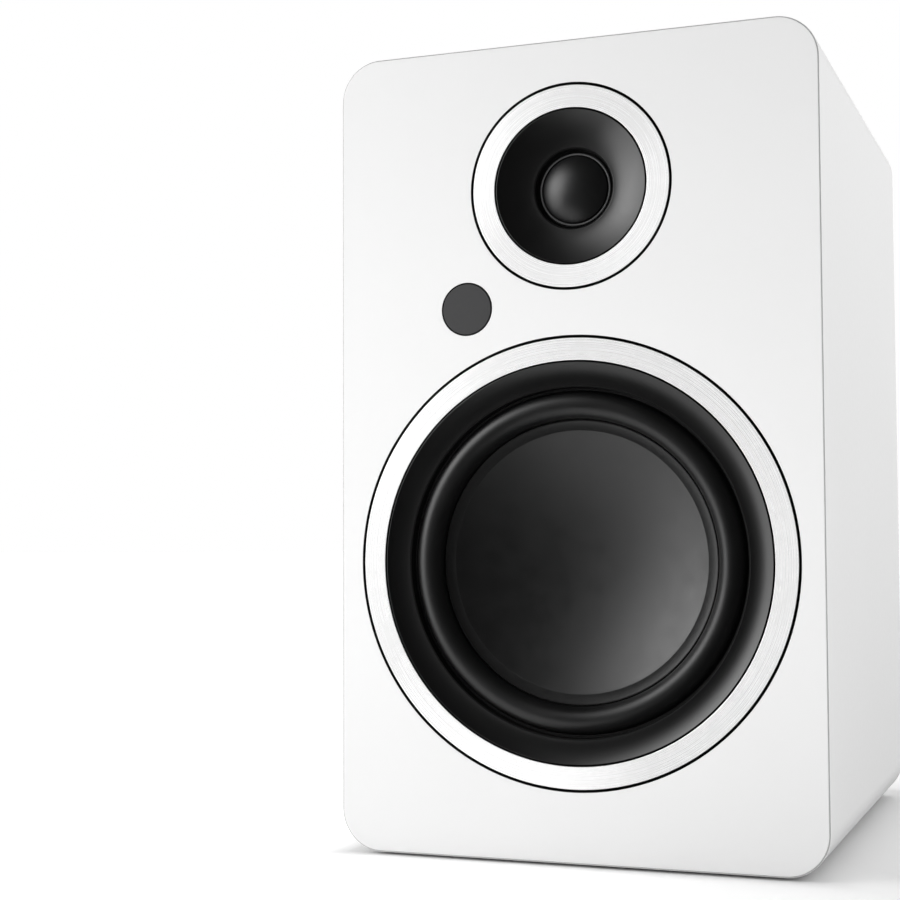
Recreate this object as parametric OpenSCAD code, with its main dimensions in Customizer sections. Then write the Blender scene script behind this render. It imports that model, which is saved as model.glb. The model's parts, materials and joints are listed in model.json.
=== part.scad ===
// Powered two-way bookshelf speaker with its amplifier in the cabinet.
// X is the width, the front faces -Y and +Z is up. The origin is on the ground, under the middle.

/* [Cabinet] */
// Width of the cabinet
cabinet_w = 176; // [172:1:184]
// Height of the cabinet without its feet
cabinet_h = 290; // [288:1:300]
// Depth of the cabinet from the front face to the rear face
cabinet_d = 210; // [205:1:230]
// Radius of the four long edges
corner_r = 15; // [10:1:18]
// Thickness of the cabinet walls and of the rear panel
wall_t = 12; // [11:0.5:13]
// Thickness of the front baffle
baffle_t = 18; // [17:0.5:20]
// How far the rubber feet stand proud of the bottom
foot_proud = 1; // [0.6:0.1:1.5]
// Shadow gap round the trim rings
reveal = 1; // [0.6:0.05:1.1]

/* [Woofer] */
// Height of the woofer's centre above the cabinet's bottom
woofer_z = 104.5; // [103:0.5:108]
// Outer radius of the woofer's trim ring
woofer_trim_r = 78.85; // [78.5:0.05:79.5]
// Inner radius of the woofer's trim ring
woofer_mouth_r = 71; // [70.6:0.1:71.5]
// Radius of the flare's throat, where the surround begins
woofer_throat_r = 61.5; // [61:0.1:62]
// Outer radius of the surround's half roll
roll_out_r = 60.4; // [60:0.1:60.6]
// Inner radius of the surround's half roll
roll_in_r = 50.75; // [50.5:0.05:51]
// Radius of the cone's dish inside its flat rim
dish_r = 46.6; // [45:0.1:47]
// How deep the dish is at its middle
dish_sag = 10.5; // [9:0.5:16]
// Inner radius of the voice coil's former
coil_r = 12.7; // [12.6:0.05:12.8]

/* [Tweeter] */
// Height of the tweeter's centre above the cabinet's bottom
tweeter_z = 237.4; // [237:0.1:240]
// Outer radius of the tweeter's trim ring
tweeter_trim_r = 36.05; // [36:0.05:36.6]
// Inner radius of the tweeter's trim ring
tweeter_mouth_r = 28.1; // [28:0.1:28.4]
// Radius of the waveguide's throat
tweeter_throat_r = 14.3; // [14.2:0.05:14.5]
// Radius of the dome
dome_r = 12.5; // [12.3:0.05:12.6]
// Height of the dome
dome_rise = 5; // [4:0.1:5.4]

/* [Sensor window] */
// Sideways place of the sensor window, negative is left as seen from the front
sensor_x = -38.8; // [-41:0.1:-38]
// Height of the sensor window above the cabinet's bottom
sensor_z = 195.4; // [195:0.1:197]
// Radius of the sensor window
sensor_r = 9.15; // [9:0.05:10]
// Shadow gap round the sensor window
sensor_reveal = 0.5; // [0.3:0.05:0.7]

/* [Reflex port] */
// Height of the port's centre above the cabinet's bottom
port_z = 238; // [236:1:242]
// Radius of the port's bore
port_r = 22; // [20:0.5:23]
// Length of the port
port_len = 98; // [80:1:110]

/* [Amplifier] */
// Width of the amplifier plate
amp_w = 116; // [114:1:120]
// Height of the amplifier plate
amp_h = 150; // [148:1:152]
// Height of the plate's centre above the cabinet's bottom
amp_z = 108; // [107:1:110]
// Distance between the two binding posts
post_pitch = 19; // [18:0.5:24]
// Radius of the volume knob
knob_r = 10; // [8:0.5:12]
// Half of the rocker's whole tilt, in degrees
rocker_tilt = 10; // [8:1:11]

/* [Hidden] */

$fn = 96;
over = 1;                        // how far a cutting solid runs past what it cuts

// Whole object
rear_proud = 16;                 // how far the binding posts stand behind the cabinet
front_y = -(cabinet_d + rear_proud) / 2;
inner_r = 3;                     // radius of the cabinet's inner long edges

// Feet, brace, wadding and magnets
foot_r = 7;
foot_inset = 22;                 // from the cabinet's side to a foot's middle
foot_pocket = 2;                 // depth of the pocket that holds a foot
foot_depths = [32, cabinet_d - 26];
brace_z = 192;
brace_t = 12;
brace_depths = [62, 150];        // front and rear edges of the brace
brace_window = [96, 50];
wadding_t = 13;
wadding_depths = [60, 180];
wadding_heights = [[16, 188], [208, cabinet_h - 16]];
magnet_r = 5;
magnet_t = 3;
magnet_skin = 3;                 // baffle left in front of a magnet
magnet_places = [for (x = [-1, 1], z = [20, cabinet_h - 20]) [x * (cabinet_w / 2 - 20), z]];

// Driver screws, shared by both drivers
screw_r = 1.75;
screw_len = 10;
screw_head_r = 3.6;
screw_head_h = 2.4;
screw_slack = 0.45;              // clearance round a screw in the parts that it holds

// Woofer, by depth behind the front face
woofer_trim_t = 2.6;
flare_lip_r = woofer_mouth_r - 0.6;
flare_lip = 0.4;                 // depth of the flare's outer lip
throat_depth = 2.8;
flare_power = 2;                 // 1 is a straight cone, and more is level towards the throat
flange_face = 7.2;               // front of the basket's flange
flange_t = 2;
flange_r = woofer_trim_r - 0.4;
gasket_t = 1;
woofer_rebate = flange_face + flange_t + gasket_t;
woofer_hole_r = 67.5;
woofer_screw_pcr = 73.6;         // pitch circle radius
woofer_screw_count = 6;
surround_t = 0.6;
surround_flange_r = 68;
rim_depth = 8;                   // front of the cone's flat rim
cone_t = 0.8;
dish_sphere_r = (dish_r * dish_r + dish_sag * dish_sag) / (2 * dish_sag);
dish_centre = rim_depth + dish_sag - dish_sphere_r;
former_t = 0.25;
former_front = dish_centre + sqrt(pow(dish_sphere_r + cone_t, 2) - pow(coil_r, 2)) + 0.02;
former_back = 53;
winding_t = 0.7;
winding_depths = [40.5, 52.5];
spider_depth = 33.5;
spider_t = 0.5;
spider_wave = 1.1;               // height of the spider's corrugation
spider_waves = 4.5;
spider_flat_r = 35;              // where the corrugation ends and the glued flange begins
spider_r = 39.3;
ledge_depth = spider_depth + spider_t / 2;
seat_depth = 44;                 // where the basket meets the top plate
top_plate_t = 5;
woofer_magnet_t = 14;
back_plate_t = 5;
woofer_magnet_r = 42.5;
woofer_gap_r = 14.3;
woofer_pole_r = 12.3;
pole_vent_r = 4;

// Tweeter, by depth behind the front face
tweeter_trim_t = 2.2;
tweeter_lip_r = tweeter_mouth_r - 0.6;
tweeter_throat_depth = 5.1;
waveguide_power = 1.5;
tweeter_flange_back = 6.1;
tweeter_back = 9.8;              // back of the faceplate, front of the top plate
tweeter_rebate = tweeter_flange_back + gasket_t;
tweeter_hole_r = 28.6;
tweeter_screw_pcr = 32.4;
tweeter_screw_count = 4;
dome_plane = 7.9;                // depth of the dome's edge
dome_t = 0.3;
dome_ring = [dome_r - 0.15, dome_r + 0.6];
dome_sphere_r = (dome_r * dome_r + dome_rise * dome_rise) / (2 * dome_rise);
suspension_depth = 8.3;
tweeter_coil_r = 12.55;
tweeter_pole_r = 12.2;
tweeter_gap_r = 13.4;
tweeter_top_plate_t = 3;
tweeter_magnet_t = 10;
tweeter_magnet_r = 27;
tweeter_back_plate_t = 3.5;
tweeter_motor_back = tweeter_back + tweeter_top_plate_t + tweeter_magnet_t + tweeter_back_plate_t;
chamber_r = 24;
chamber_len = 18;
chamber_wall = 1.8;

// Sensor window
window_t = 2.5;
sensor_hole_r = sensor_r + sensor_reveal;
holder_bore_r = 7.6;
holder_flange_r = 14;
holder_flange_t = 1.5;
board_t = 1.6;

// Reflex port
port_wall = 2.4;
port_flange_r = 36;
port_flange_t = 2.5;
port_round = 10;                 // radius of the flared mouth
port_sleeve_r = 27;              // the thicker stretch that fills the panel's hole
port_sleeve = 20;

// Amplifier plate and what is on it, by distance behind the rear face
plate_t = 3;
plate_r = 6;
plate_margin = 6;                // the plate's overlap on the rear panel
plate_slack = 0.3;
plate_screw_r = 1.5;
plate_screw_head = [3.1, 2];
plate_screw_len = 9;
board_gap = 11;                  // between the plate and the amplifier board
power_gap = 25;                  // between the plate and the power board
amp_board_size = [100, 98];
amp_board_z = 125;
power_board_size = [100, 30];
power_board_z = 56.5;
standoff_r = 2.75;
heatsink_size = [70, 36];
heatsink_z = 126;
heatsink_base = 4;
heatsink_fins = 12;
fin_t = 1.6;
fin_h = 18;
chip_size = [14, 14, 1.8];
choke_places = [for (x = [-30, -12, 12, 30]) [x, 90]];
choke_size = [12, 12, 10];
knob_place = [34, 155];
aux_place = [8, 155];
optical_place = [-20, 155];
rca_places = [[38, 126], [22, 126], [-22, 126]];
post_z = 92;
inlet_place = [22, 54];
switch_place = [-22, 54];
knob_depths = [2.4, 14];
knob_recess = [7.2, 2.8];
shaft_r = 3;
shaft_fit = 0.05;
bushing_r = 3.5;
encoder_size = [12.4, 13.2, 7];
encoder_cavity = [4.6, 2.7];     // radius and depth of the room behind the shaft
post_r = 3.5;
post_bore_r = 2.05;
post_bore_len = 15;
post_len = 15.2;
post_base = [7.5, 3];
wire_hole_at = 4.6;               // the cross hole that a bare wire goes through
wire_hole_r = 0.8;
washer_size = [5.6, 1.2];
washer_place = 3.2;
cap_place = 4.5;
cap_len = rear_proud - cap_place;
cap_r = 6.6;
cap_grips = 12;
rca_barrel_r = 4.15;
rca_barrel_len = 9;
rca_pin_r = 1.65;
aux_bore_r = 1.8;
aux_len = 15;
rocker_r = 8;
rocker_w = 9.6;
rocker_pin_r = 1;
rocker_pivot = 0.2;
switch_cavity = [10.2, 16.6, 4.2];
switch_bezel = [15, 21, 1.8];
switch_body = [12.8, 19, 12];
inlet_pin_r = 1.2;
inlet_pin_pitch = 8.6;
inlet_recess = [16.6, 9.6, 10];
inlet_body = [21, 13.4, 14];
inlet_flange = 1.6;
optical_cavity = [8.4, 8.4, 9.6];
optical_body = [11, 11, 12];
shutter_pivot = [3.6, -0.9];     // height in the mouth and distance behind the plate's face
shutter_t = 1;
shutter_pin_r = 0.5;

// Wires
wire_r = 1.1;
wire_sides = 8;
wire_steps = 3;                  // rings between two of a wire's points
lead_r = 0.5;
woofer_wire_route = [
    [34, 148, 190], [34, 150, 176], [30, 158, 150], [20, 170, 120], [10, 172, 90], [4, 164, 64],
    [2.6, 156, 52], [2.6, 153.5, 44],
];
tweeter_wire_route = [
    [-34, 165, 190], [-34, 167, 172], [-32, 178, 140], [-28, 198, 112], [-18, 222, 84],
    [-8, 234, 66], [-4, 237.4, 56], [-4, 237.4, 51],
];
lead_route = [[0, 13.9, 25.5], [0, 22, 28.5], [0, 34, 27.5], [0, 42, 26.5], [0, 47.5, 28.5], [0, 49, 33.5]];
terminal_r = 49;                 // distance of the woofer's terminals from its axis

// Colours
white = [0.94, 0.94, 0.94];
satin = [0.82, 0.82, 0.82];
graphite = [0.16, 0.16, 0.17];
soft_black = [0.09, 0.09, 0.1];
steel = [0.6, 0.61, 0.63];
ferrite = [0.25, 0.25, 0.26];
copper = [0.78, 0.45, 0.25];
gold = [0.85, 0.68, 0.3];
board_green = [0.1, 0.35, 0.2];

// ---- Places ------------------------------------------------------------------------------

// Bench coordinates: X as above, Y up from the cabinet's bottom, Z back from its front face
module bench() {
    translate([0, front_y, foot_proud]) rotate([90, 0, 0]) mirror([0, 0, 1]) children();
}

module at(x, z, depth = 0) {
    bench() translate([x, z, depth]) children();
}

// The same, with Z counted outwards from the rear face
module at_rear(place) {
    at(place[0], place[1], cabinet_d) children();
}

module around(count, radius, phase = 0) {
    for (i = [0:count - 1]) rotate([0, 0, phase + i * 360 / count]) translate([radius, 0, 0]) children();
}

// ---- Shapes ------------------------------------------------------------------------------

module rounded_rect(w, h, r) {
    square([w - 2 * r, h], center = true);
    square([w, h - 2 * r], center = true);
    for (x = [-1, 1], y = [-1, 1]) translate([x * (w / 2 - r), y * (h / 2 - r)]) circle(r);
}

module plate(w, h, r, from, to) {
    translate([0, 0, from]) linear_extrude(to - from) rounded_rect(w, h, r);
}

module block(w, h, from, to) {
    translate([-w / 2, -h / 2, from]) cube([w, h, to - from]);
}

module rod(r, from, to) {
    translate([0, 0, from]) cylinder(r = r, h = to - from);
}

module ring(r_in, r_out, from, to) {
    translate([0, 0, from]) linear_extrude(to - from) difference() {
        circle(r_out);
        circle(r_in);
    }
}

// The outline of a flare, steepest at its outer lip and level at its throat
function flare_curve(throat_r, throat_at, lip_r, lip_at, power, steps = 14) = [
    for (i = [0:steps]) let (s = i / steps)
        [throat_r + (lip_r - throat_r) * s, throat_at - (throat_at - lip_at) * pow(s, power)]
];

function unit(v) = v / norm(v);

// A point of the smooth curve through four points, between the middle two
function curve_point(a, b, c, d, t) =
    (2 * b + (c - a) * t + (2 * a - 5 * b + 4 * c - d) * t * t + (3 * b - a - 3 * c + d) * t * t * t) / 2;

function smooth_route(p, steps) = [
    for (i = [0:len(p) - 2], s = [0:steps - 1])
        curve_point(p[max(i - 1, 0)], p[i], p[i + 1], p[min(i + 2, len(p) - 1)], s / steps),
    p[len(p) - 1],
];

// A round tube along a route that never runs straight along X
module tube(route, r, sides = wire_sides, steps = wire_steps) {
    p = smooth_route(route, steps);
    n = len(p);
    points = [
        for (i = [0:n - 1])
            let (
                along = unit(p[min(i + 1, n - 1)] - p[max(i - 1, 0)]),
                across = unit(cross(along, [1, 0, 0])),
                third = cross(along, across)
            )
            for (k = [0:sides - 1])
                p[i] + r * (cos(k * 360 / sides) * across + sin(k * 360 / sides) * third)
    ];
    walls = [
        for (i = [0:n - 2], k = [0:sides - 1])
            let (a = i * sides + k, b = i * sides + (k + 1) % sides)
            for (f = [[a, b, b + sides], [a, b + sides, a + sides]]) f
    ];
    ends = [
        [for (k = [0:sides - 1]) sides - 1 - k],
        [for (k = [0:sides - 1]) (n - 1) * sides + k],
    ];
    polyhedron(points, concat(walls, ends), convexity = 6);
}

// ---- Cabinet -----------------------------------------------------------------------------

module cabinet_outline() {
    translate([0, cabinet_h / 2]) rounded_rect(cabinet_w, cabinet_h, corner_r);
}

module cabinet_inside() {
    translate([0, cabinet_h / 2]) rounded_rect(cabinet_w - 2 * wall_t, cabinet_h - 2 * wall_t, inner_r);
}

module each_foot() {
    for (x = [-1, 1], depth = foot_depths)
        translate([x * (cabinet_w / 2 - foot_inset), front_y + depth, 0]) children();
}

module cabinet_shell() {
    color(white) difference() {
        bench() translate([0, 0, baffle_t]) linear_extrude(cabinet_d - baffle_t) difference() {
            cabinet_outline();
            cabinet_inside();
        }
        each_foot() rod(foot_r, -over, foot_proud + foot_pocket);
    }
}

module front_baffle() {
    color(white) difference() {
        bench() linear_extrude(baffle_t) cabinet_outline();
        at(0, woofer_z) {
            rod(woofer_trim_r + reveal, -over, woofer_rebate);
            rod(woofer_hole_r, 0, baffle_t + over);
            around(woofer_screw_count, woofer_screw_pcr, 30) rod(screw_r, 0, flange_face + screw_len);
        }
        at(0, tweeter_z) {
            rod(tweeter_trim_r + reveal, -over, tweeter_rebate);
            rod(tweeter_hole_r, 0, baffle_t + over);
            around(tweeter_screw_count, tweeter_screw_pcr, 45) rod(screw_r, 0, tweeter_screw_end());
        }
        at(sensor_x, sensor_z) rod(sensor_hole_r, -over, baffle_t + over);
        for (m = magnet_places) at(m[0], m[1]) rod(magnet_r, magnet_skin, baffle_t + over);
    }
}

module rear_panel() {
    color(white) difference() {
        bench() translate([0, 0, cabinet_d - wall_t]) linear_extrude(wall_t) cabinet_inside();
        at_rear([0, port_z]) {
            rod(port_sleeve_r, -wall_t - over, over);
            rod(port_flange_r, -port_flange_t, over);
        }
        at_rear([0, amp_z]) {
            plate(amp_w + 2 * plate_slack, amp_h + 2 * plate_slack, plate_r + plate_slack, -plate_t, over);
            plate(amp_w - 2 * plate_margin - 2, amp_h - 2 * plate_margin - 2, plate_r, -wall_t - over, 0);
        }
        each_plate_screw() rod(plate_screw_r, -plate_screw_len, 0);
    }
}

module brace() {
    depth = brace_depths[1] - brace_depths[0];
    color([0.72, 0.58, 0.4])
        translate([0, front_y + (brace_depths[0] + brace_depths[1]) / 2, foot_proud + brace_z])
            linear_extrude(brace_t) difference() {
                square([cabinet_w - 2 * wall_t, depth], center = true);
                rounded_rect(brace_window[0], brace_window[1], 12);
            }
}

module wadding() {
    inside = cabinet_w / 2 - wall_t;
    color([0.9, 0.9, 0.86])
        for (side = [-1, 1], z = wadding_heights)
            at(side * (inside - wadding_t / 2), (z[0] + z[1]) / 2)
                block(wadding_t, z[1] - z[0], wadding_depths[0], wadding_depths[1]);
}

module feet() {
    color(soft_black) each_foot() rod(foot_r, 0, foot_proud + foot_pocket);
}

module grille_magnets() {
    color(steel) for (m = magnet_places) at(m[0], m[1]) rod(magnet_r, magnet_skin, magnet_skin + magnet_t);
}

module port_tube() {
    mouth_r = port_r + port_round;
    color(soft_black) at_rear([0, port_z]) difference() {
        union() {
            rod(port_flange_r, -port_flange_t, 0);
            rod(port_sleeve_r, -port_sleeve, 0);
            rod(port_r + port_wall, -port_len, 0);
        }
        rod(port_r, -port_len - over, over);
        translate([0, 0, -port_round]) rotate_extrude() difference() {
            square([mouth_r, port_round + over]);
            translate([mouth_r, 0]) circle(port_round);
        }
    }
}

// ---- Woofer ------------------------------------------------------------------------------

module woofer_trim_ring() {
    color(satin) at(0, woofer_z) ring(woofer_mouth_r, woofer_trim_r, 0, woofer_trim_t);
}

module woofer_flare_ring() {
    curve = flare_curve(woofer_throat_r, throat_depth, flare_lip_r, flare_lip, flare_power);
    pocket_depth = flange_face - screw_head_h - 0.3;
    color(soft_black) at(0, woofer_z) difference() {
        rotate_extrude() polygon(concat(curve, [
            [flare_lip_r, woofer_trim_t], [flange_r, woofer_trim_t], [flange_r, flange_face],
            [surround_flange_r, flange_face], [surround_flange_r, flange_face - surround_t],
            [woofer_throat_r, flange_face - surround_t],
        ]));
        around(woofer_screw_count, woofer_screw_pcr, 30)
            rod(screw_head_r + screw_slack, pocket_depth, flange_face + over);
    }
}

module woofer_surround() {
    middle = (roll_in_r + roll_out_r) / 2;
    roll_r = (roll_out_r - roll_in_r) / 2;
    base = flange_face - surround_t / 2;
    glue = rim_depth + cone_t;
    color(soft_black) at(0, woofer_z) rotate_extrude() {
        intersection() {
            difference() {
                translate([middle, base]) circle(roll_r);
                translate([middle, base]) circle(roll_r - surround_t);
            }
            translate([roll_in_r - over, 0]) square([roll_out_r - roll_in_r + 2 * over, base]);
        }
        translate([roll_in_r, base]) square([surround_t, glue + surround_t - base]);
        translate([dish_r + 1.6, glue]) square([roll_in_r + surround_t - dish_r - 1.6, surround_t]);
        translate([roll_out_r - surround_t, flange_face - surround_t])
            square([surround_flange_r - roll_out_r + surround_t, surround_t]);
    }
}

module woofer_cone() {
    rim_r = roll_in_r - 0.15;
    color(graphite) at(0, woofer_z) rotate_extrude() {
        intersection() {
            difference() {
                translate([0, dish_centre]) circle(dish_sphere_r + cone_t);
                translate([0, dish_centre]) circle(dish_sphere_r);
            }
            translate([0, rim_depth]) square([dish_r + 2 * cone_t, dish_sag + 2 * cone_t]);
        }
        translate([dish_r, rim_depth]) square([rim_r - dish_r, cone_t]);
    }
}

module voice_coil_former() {
    color([0.75, 0.7, 0.6]) at(0, woofer_z) ring(coil_r, coil_r + former_t, former_front, former_back);
}

module voice_coil_winding() {
    inner = coil_r + former_t;
    color(copper) at(0, woofer_z) ring(inner, inner + winding_t, winding_depths[0], winding_depths[1]);
}

module woofer_spider() {
    start = coil_r + former_t;
    steps = 54;
    wave = [
        for (i = [0:steps]) let (t = i / steps)
            [start + (spider_flat_r - start) * t, -spider_wave * sin(360 * spider_waves * t)]
    ];
    color([0.85, 0.75, 0.4]) at(0, woofer_z, spider_depth) rotate_extrude() polygon(concat(
        [for (p = wave) [p[0], p[1] - spider_t / 2]],
        [[spider_r, -spider_t / 2], [spider_r, spider_t / 2]],
        [for (i = [0:steps]) [wave[steps - i][0], wave[steps - i][1] + spider_t / 2]]
    ));
}

module tinsel_leads() {
    color(copper) at(0, woofer_z) for (x = [-2.6, 2.6]) translate([x, 0, 0]) tube(lead_route, lead_r);
}

module woofer_basket() {
    window_depths = [12, 31];
    window_angle = 42;
    spokes = 6;
    color(ferrite) at(0, woofer_z) difference() {
        rotate_extrude() polygon([
            [roll_out_r + 0.2, flange_face], [flange_r, flange_face], [flange_r, flange_face + flange_t],
            [62.6, flange_face + flange_t], [41, ledge_depth + 1.6], [36.4, ledge_depth + 1.6],
            [35, seat_depth - 1.6], [40, seat_depth - 1.6], [40, seat_depth], [15.5, seat_depth],
            [15.5, seat_depth - 1.6], [33.2, seat_depth - 1.6], [34.4, ledge_depth + 1.6],
            [34.4, ledge_depth], [39.6, ledge_depth], [roll_out_r + 0.2, flange_face + flange_t - 0.2],
        ]);
        for (i = [0:spokes - 1]) rotate([0, 0, 90 + i * 360 / spokes])
            translate([0, 0, window_depths[0]]) linear_extrude(window_depths[1] - window_depths[0])
                polygon([
                    [0, 0], [80, -80 * tan(window_angle / 2)], [80, 80 * tan(window_angle / 2)],
                ]);
        around(woofer_screw_count, woofer_screw_pcr, 30)
            rod(screw_r + screw_slack, flange_face - over, flange_face + flange_t + over);
    }
}

module woofer_top_plate() {
    color(steel) at(0, woofer_z) ring(woofer_gap_r, 40, seat_depth, seat_depth + top_plate_t);
}

module woofer_magnet() {
    front = seat_depth + top_plate_t;
    color(ferrite) at(0, woofer_z) ring(20, woofer_magnet_r, front, front + woofer_magnet_t);
}

module woofer_yoke() {
    face = seat_depth + top_plate_t + woofer_magnet_t;
    color(steel) at(0, woofer_z) difference() {
        union() {
            rod(38, face, face + back_plate_t);
            rod(woofer_pole_r, seat_depth - 0.5, face);
        }
        rod(pole_vent_r, 0, face + back_plate_t + over);
    }
}

// ---- Tweeter -----------------------------------------------------------------------------

function tweeter_screw_end() = tweeter_trim_t + screw_head_h + 0.1 + screw_len;

module tweeter_trim_ring() {
    color(satin) at(0, tweeter_z) ring(tweeter_mouth_r, tweeter_trim_r, 0, tweeter_trim_t);
}

module tweeter_faceplate() {
    curve = flare_curve(
        tweeter_throat_r, tweeter_throat_depth, tweeter_lip_r, flare_lip, waveguide_power
    );
    flange = tweeter_trim_r - 0.2;
    color(soft_black) at(0, tweeter_z) difference() {
        rotate_extrude() polygon(concat(curve, [
            [tweeter_lip_r, tweeter_trim_t], [flange, tweeter_trim_t], [flange, tweeter_flange_back],
            [28, tweeter_flange_back], [28, tweeter_back], [19, tweeter_back],
            [19, suspension_depth], [tweeter_throat_r, suspension_depth],
        ]));
        around(tweeter_screw_count, tweeter_screw_pcr, 45) {
            rod(screw_head_r + 0.2, 0, tweeter_trim_t + screw_head_h + 0.1);
            rod(screw_r + screw_slack, 0, tweeter_flange_back + over);
        }
    }
}

module tweeter_dome() {
    centre = dome_plane - dome_rise + dome_sphere_r;
    color(graphite) at(0, tweeter_z) rotate_extrude() {
        intersection() {
            difference() {
                translate([0, centre]) circle(dome_sphere_r);
                translate([0, centre]) circle(dome_sphere_r - dome_t);
            }
            square([dome_r, dome_plane]);
        }
        translate([dome_ring[0], dome_plane - 0.2])
            square([dome_ring[1] - dome_ring[0], suspension_depth - dome_plane + 0.2]);
    }
}

module dome_surround() {
    flat_r = 15.6;
    middle = (dome_ring[1] + flat_r) / 2;
    roll_r = (flat_r - dome_ring[1]) / 2;
    color(soft_black) at(0, tweeter_z) rotate_extrude() {
        intersection() {
            translate([middle, suspension_depth]) difference() {
                circle(roll_r);
                circle(roll_r - 0.3);
            }
            translate([dome_ring[1] - over, suspension_depth]) square([4 + 2 * over, 3]);
        }
        translate([flat_r - 0.3, suspension_depth]) square([18.6 - flat_r, 0.3]);
    }
}

module tweeter_voice_coil() {
    color(copper) at(0, tweeter_z) {
        ring(tweeter_coil_r, tweeter_coil_r + 0.25, suspension_depth, 13.6);
        ring(tweeter_coil_r + 0.2, tweeter_coil_r + 0.5, 9.9, 12.7);
    }
}

module tweeter_top_plate() {
    color(steel) at(0, tweeter_z) ring(tweeter_gap_r, 26, tweeter_back, tweeter_back + tweeter_top_plate_t);
}

module tweeter_magnet() {
    front = tweeter_back + tweeter_top_plate_t;
    color(ferrite) at(0, tweeter_z) ring(15.5, tweeter_magnet_r, front, front + tweeter_magnet_t);
}

module tweeter_yoke() {
    face = tweeter_motor_back - tweeter_back_plate_t;
    color(steel) at(0, tweeter_z) difference() {
        union() {
            rod(25, face, tweeter_motor_back);
            rod(tweeter_pole_r, tweeter_back - 0.2, face);
        }
        rod(pole_vent_r, 0, tweeter_motor_back + over);
    }
}

module tweeter_rear_chamber() {
    color(soft_black) at(0, tweeter_z) difference() {
        rod(chamber_r, tweeter_motor_back, tweeter_motor_back + chamber_len);
        rod(chamber_r - chamber_wall, tweeter_motor_back - over,
            tweeter_motor_back + chamber_len - chamber_wall);
    }
}

// ---- What both drivers share -------------------------------------------------------------

module driver_gaskets() {
    color(soft_black) {
        at(0, woofer_z) difference() {
            ring(surround_flange_r, flange_r, flange_face + flange_t, woofer_rebate);
            around(woofer_screw_count, woofer_screw_pcr, 30)
                rod(screw_r + screw_slack, 0, woofer_rebate + over);
        }
        at(0, tweeter_z) difference() {
            ring(tweeter_hole_r + 0.4, tweeter_trim_r - 0.2, tweeter_flange_back, tweeter_rebate);
            around(tweeter_screw_count, tweeter_screw_pcr, 45)
                rod(screw_r + screw_slack, 0, tweeter_rebate + over);
        }
    }
}

// A pan-head screw whose head rests at depth 0
module driver_screw() {
    difference() {
        union() {
            rod(screw_head_r, -screw_head_h, 0);
            rod(screw_r, 0, screw_len);
        }
        for (turn = [0, 90]) rotate([0, 0, turn]) block(4, 0.8, -screw_head_h - over, -screw_head_h + 1.2);
    }
}

module driver_screws() {
    color(steel) {
        at(0, woofer_z, flange_face) around(woofer_screw_count, woofer_screw_pcr, 30) driver_screw();
        at(0, tweeter_z, tweeter_screw_end() - screw_len)
            around(tweeter_screw_count, tweeter_screw_pcr, 45) driver_screw();
    }
}

// Each driver's tag strip with two blades
module driver_terminals() {
    strip = 1.6;
    strip_front = ledge_depth;
    chamber_back = tweeter_motor_back + chamber_len;
    color([0.7, 0.55, 0.3]) {
        at(0, woofer_z) {
            difference() {
                translate([0, 46, 0]) block(14, 16, strip_front, strip_front + strip);
                rod(terminal_r - 6.6, strip_front - over, strip_front + strip + over);
            }
            for (x = [-2.6, 2.6]) translate([x, terminal_r, 0]) block(0.8, 3, strip_front + strip, 43.6);
        }
        at(0, tweeter_z) {
            block(14, 10, chamber_back, chamber_back + strip);
            for (x = [-4, 4]) translate([x, 0, 0]) block(0.8, 3, chamber_back + strip, chamber_back + 6.5);
        }
    }
}

module driver_wires() {
    color([0.75, 0.1, 0.1]) bench() {
        for (side = [0, 1]) translate([-side * 5.2, 0, 0]) tube(woofer_wire_route, wire_r);
        for (side = [0, 1]) translate([side * 8, 0, 0]) tube(tweeter_wire_route, wire_r);
    }
}

// ---- Sensor window -----------------------------------------------------------------------

module sensor_window() {
    color([0.27, 0.27, 0.27]) at(sensor_x, sensor_z) rod(sensor_r, 0, window_t);
}

module sensor_holder() {
    color(soft_black) at(sensor_x, sensor_z) {
        ring(holder_bore_r, sensor_hole_r, window_t, baffle_t);
        ring(holder_bore_r, holder_flange_r, baffle_t, baffle_t + holder_flange_t);
    }
}

module sensor_board() {
    face = baffle_t + holder_flange_t;
    color(board_green) at(sensor_x, sensor_z) {
        block(26, 22, face, face + board_t);
        translate([-2, 0, 0]) block(5.5, 6, face - 6.5, face);
        translate([4.2, 0, 0]) rod(1.5, face - 5, face);
    }
}

// ---- Amplifier ---------------------------------------------------------------------------

module each_plate_screw() {
    edge_x = amp_w / 2 - plate_margin / 2 - 0.5;
    edge_z = amp_h / 2 - plate_margin / 2 - 0.5;
    for (x = [-1, 1], z = [-1, 0, 1]) at_rear([x * edge_x, amp_z + z * (edge_z - 4)]) children();
    for (z = [-1, 1]) at_rear([0, amp_z + z * edge_z]) children();
}

module amp_plate() {
    color(soft_black) difference() {
        at_rear([0, amp_z]) plate(amp_w, amp_h, plate_r, -plate_t, 0);
        each_plate_screw() rod(plate_screw_r, -plate_t - over, over);
        at_rear(knob_place) rod(bushing_r, -plate_t - over, over);
        at_rear(aux_place) rod(bushing_r, -plate_t - over, over);
        at_rear(optical_place) block(optical_body[0], optical_body[1], -plate_t - over, over);
        for (place = rca_places) at_rear(place) rod(5, -plate_t - over, over);
        for (side = [-1, 1]) at_rear([side * post_pitch / 2, post_z]) rod(post_r, -plate_t - over, over);
        at_rear(switch_place) block(switch_body[0], switch_body[1], -plate_t - over, over);
        at_rear(inlet_place) plate(inlet_body[0], inlet_body[1], 4, -plate_t - over, over);
    }
}

module amp_plate_screws() {
    color(soft_black) each_plate_screw() difference() {
        union() {
            rod(plate_screw_head[0], 0, plate_screw_head[1]);
            rod(plate_screw_r, -plate_screw_len, 0);
        }
        for (turn = [0, 90]) rotate([0, 0, turn])
            block(3.6, 0.7, plate_screw_head[1] - 1, plate_screw_head[1] + over);
    }
}

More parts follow.
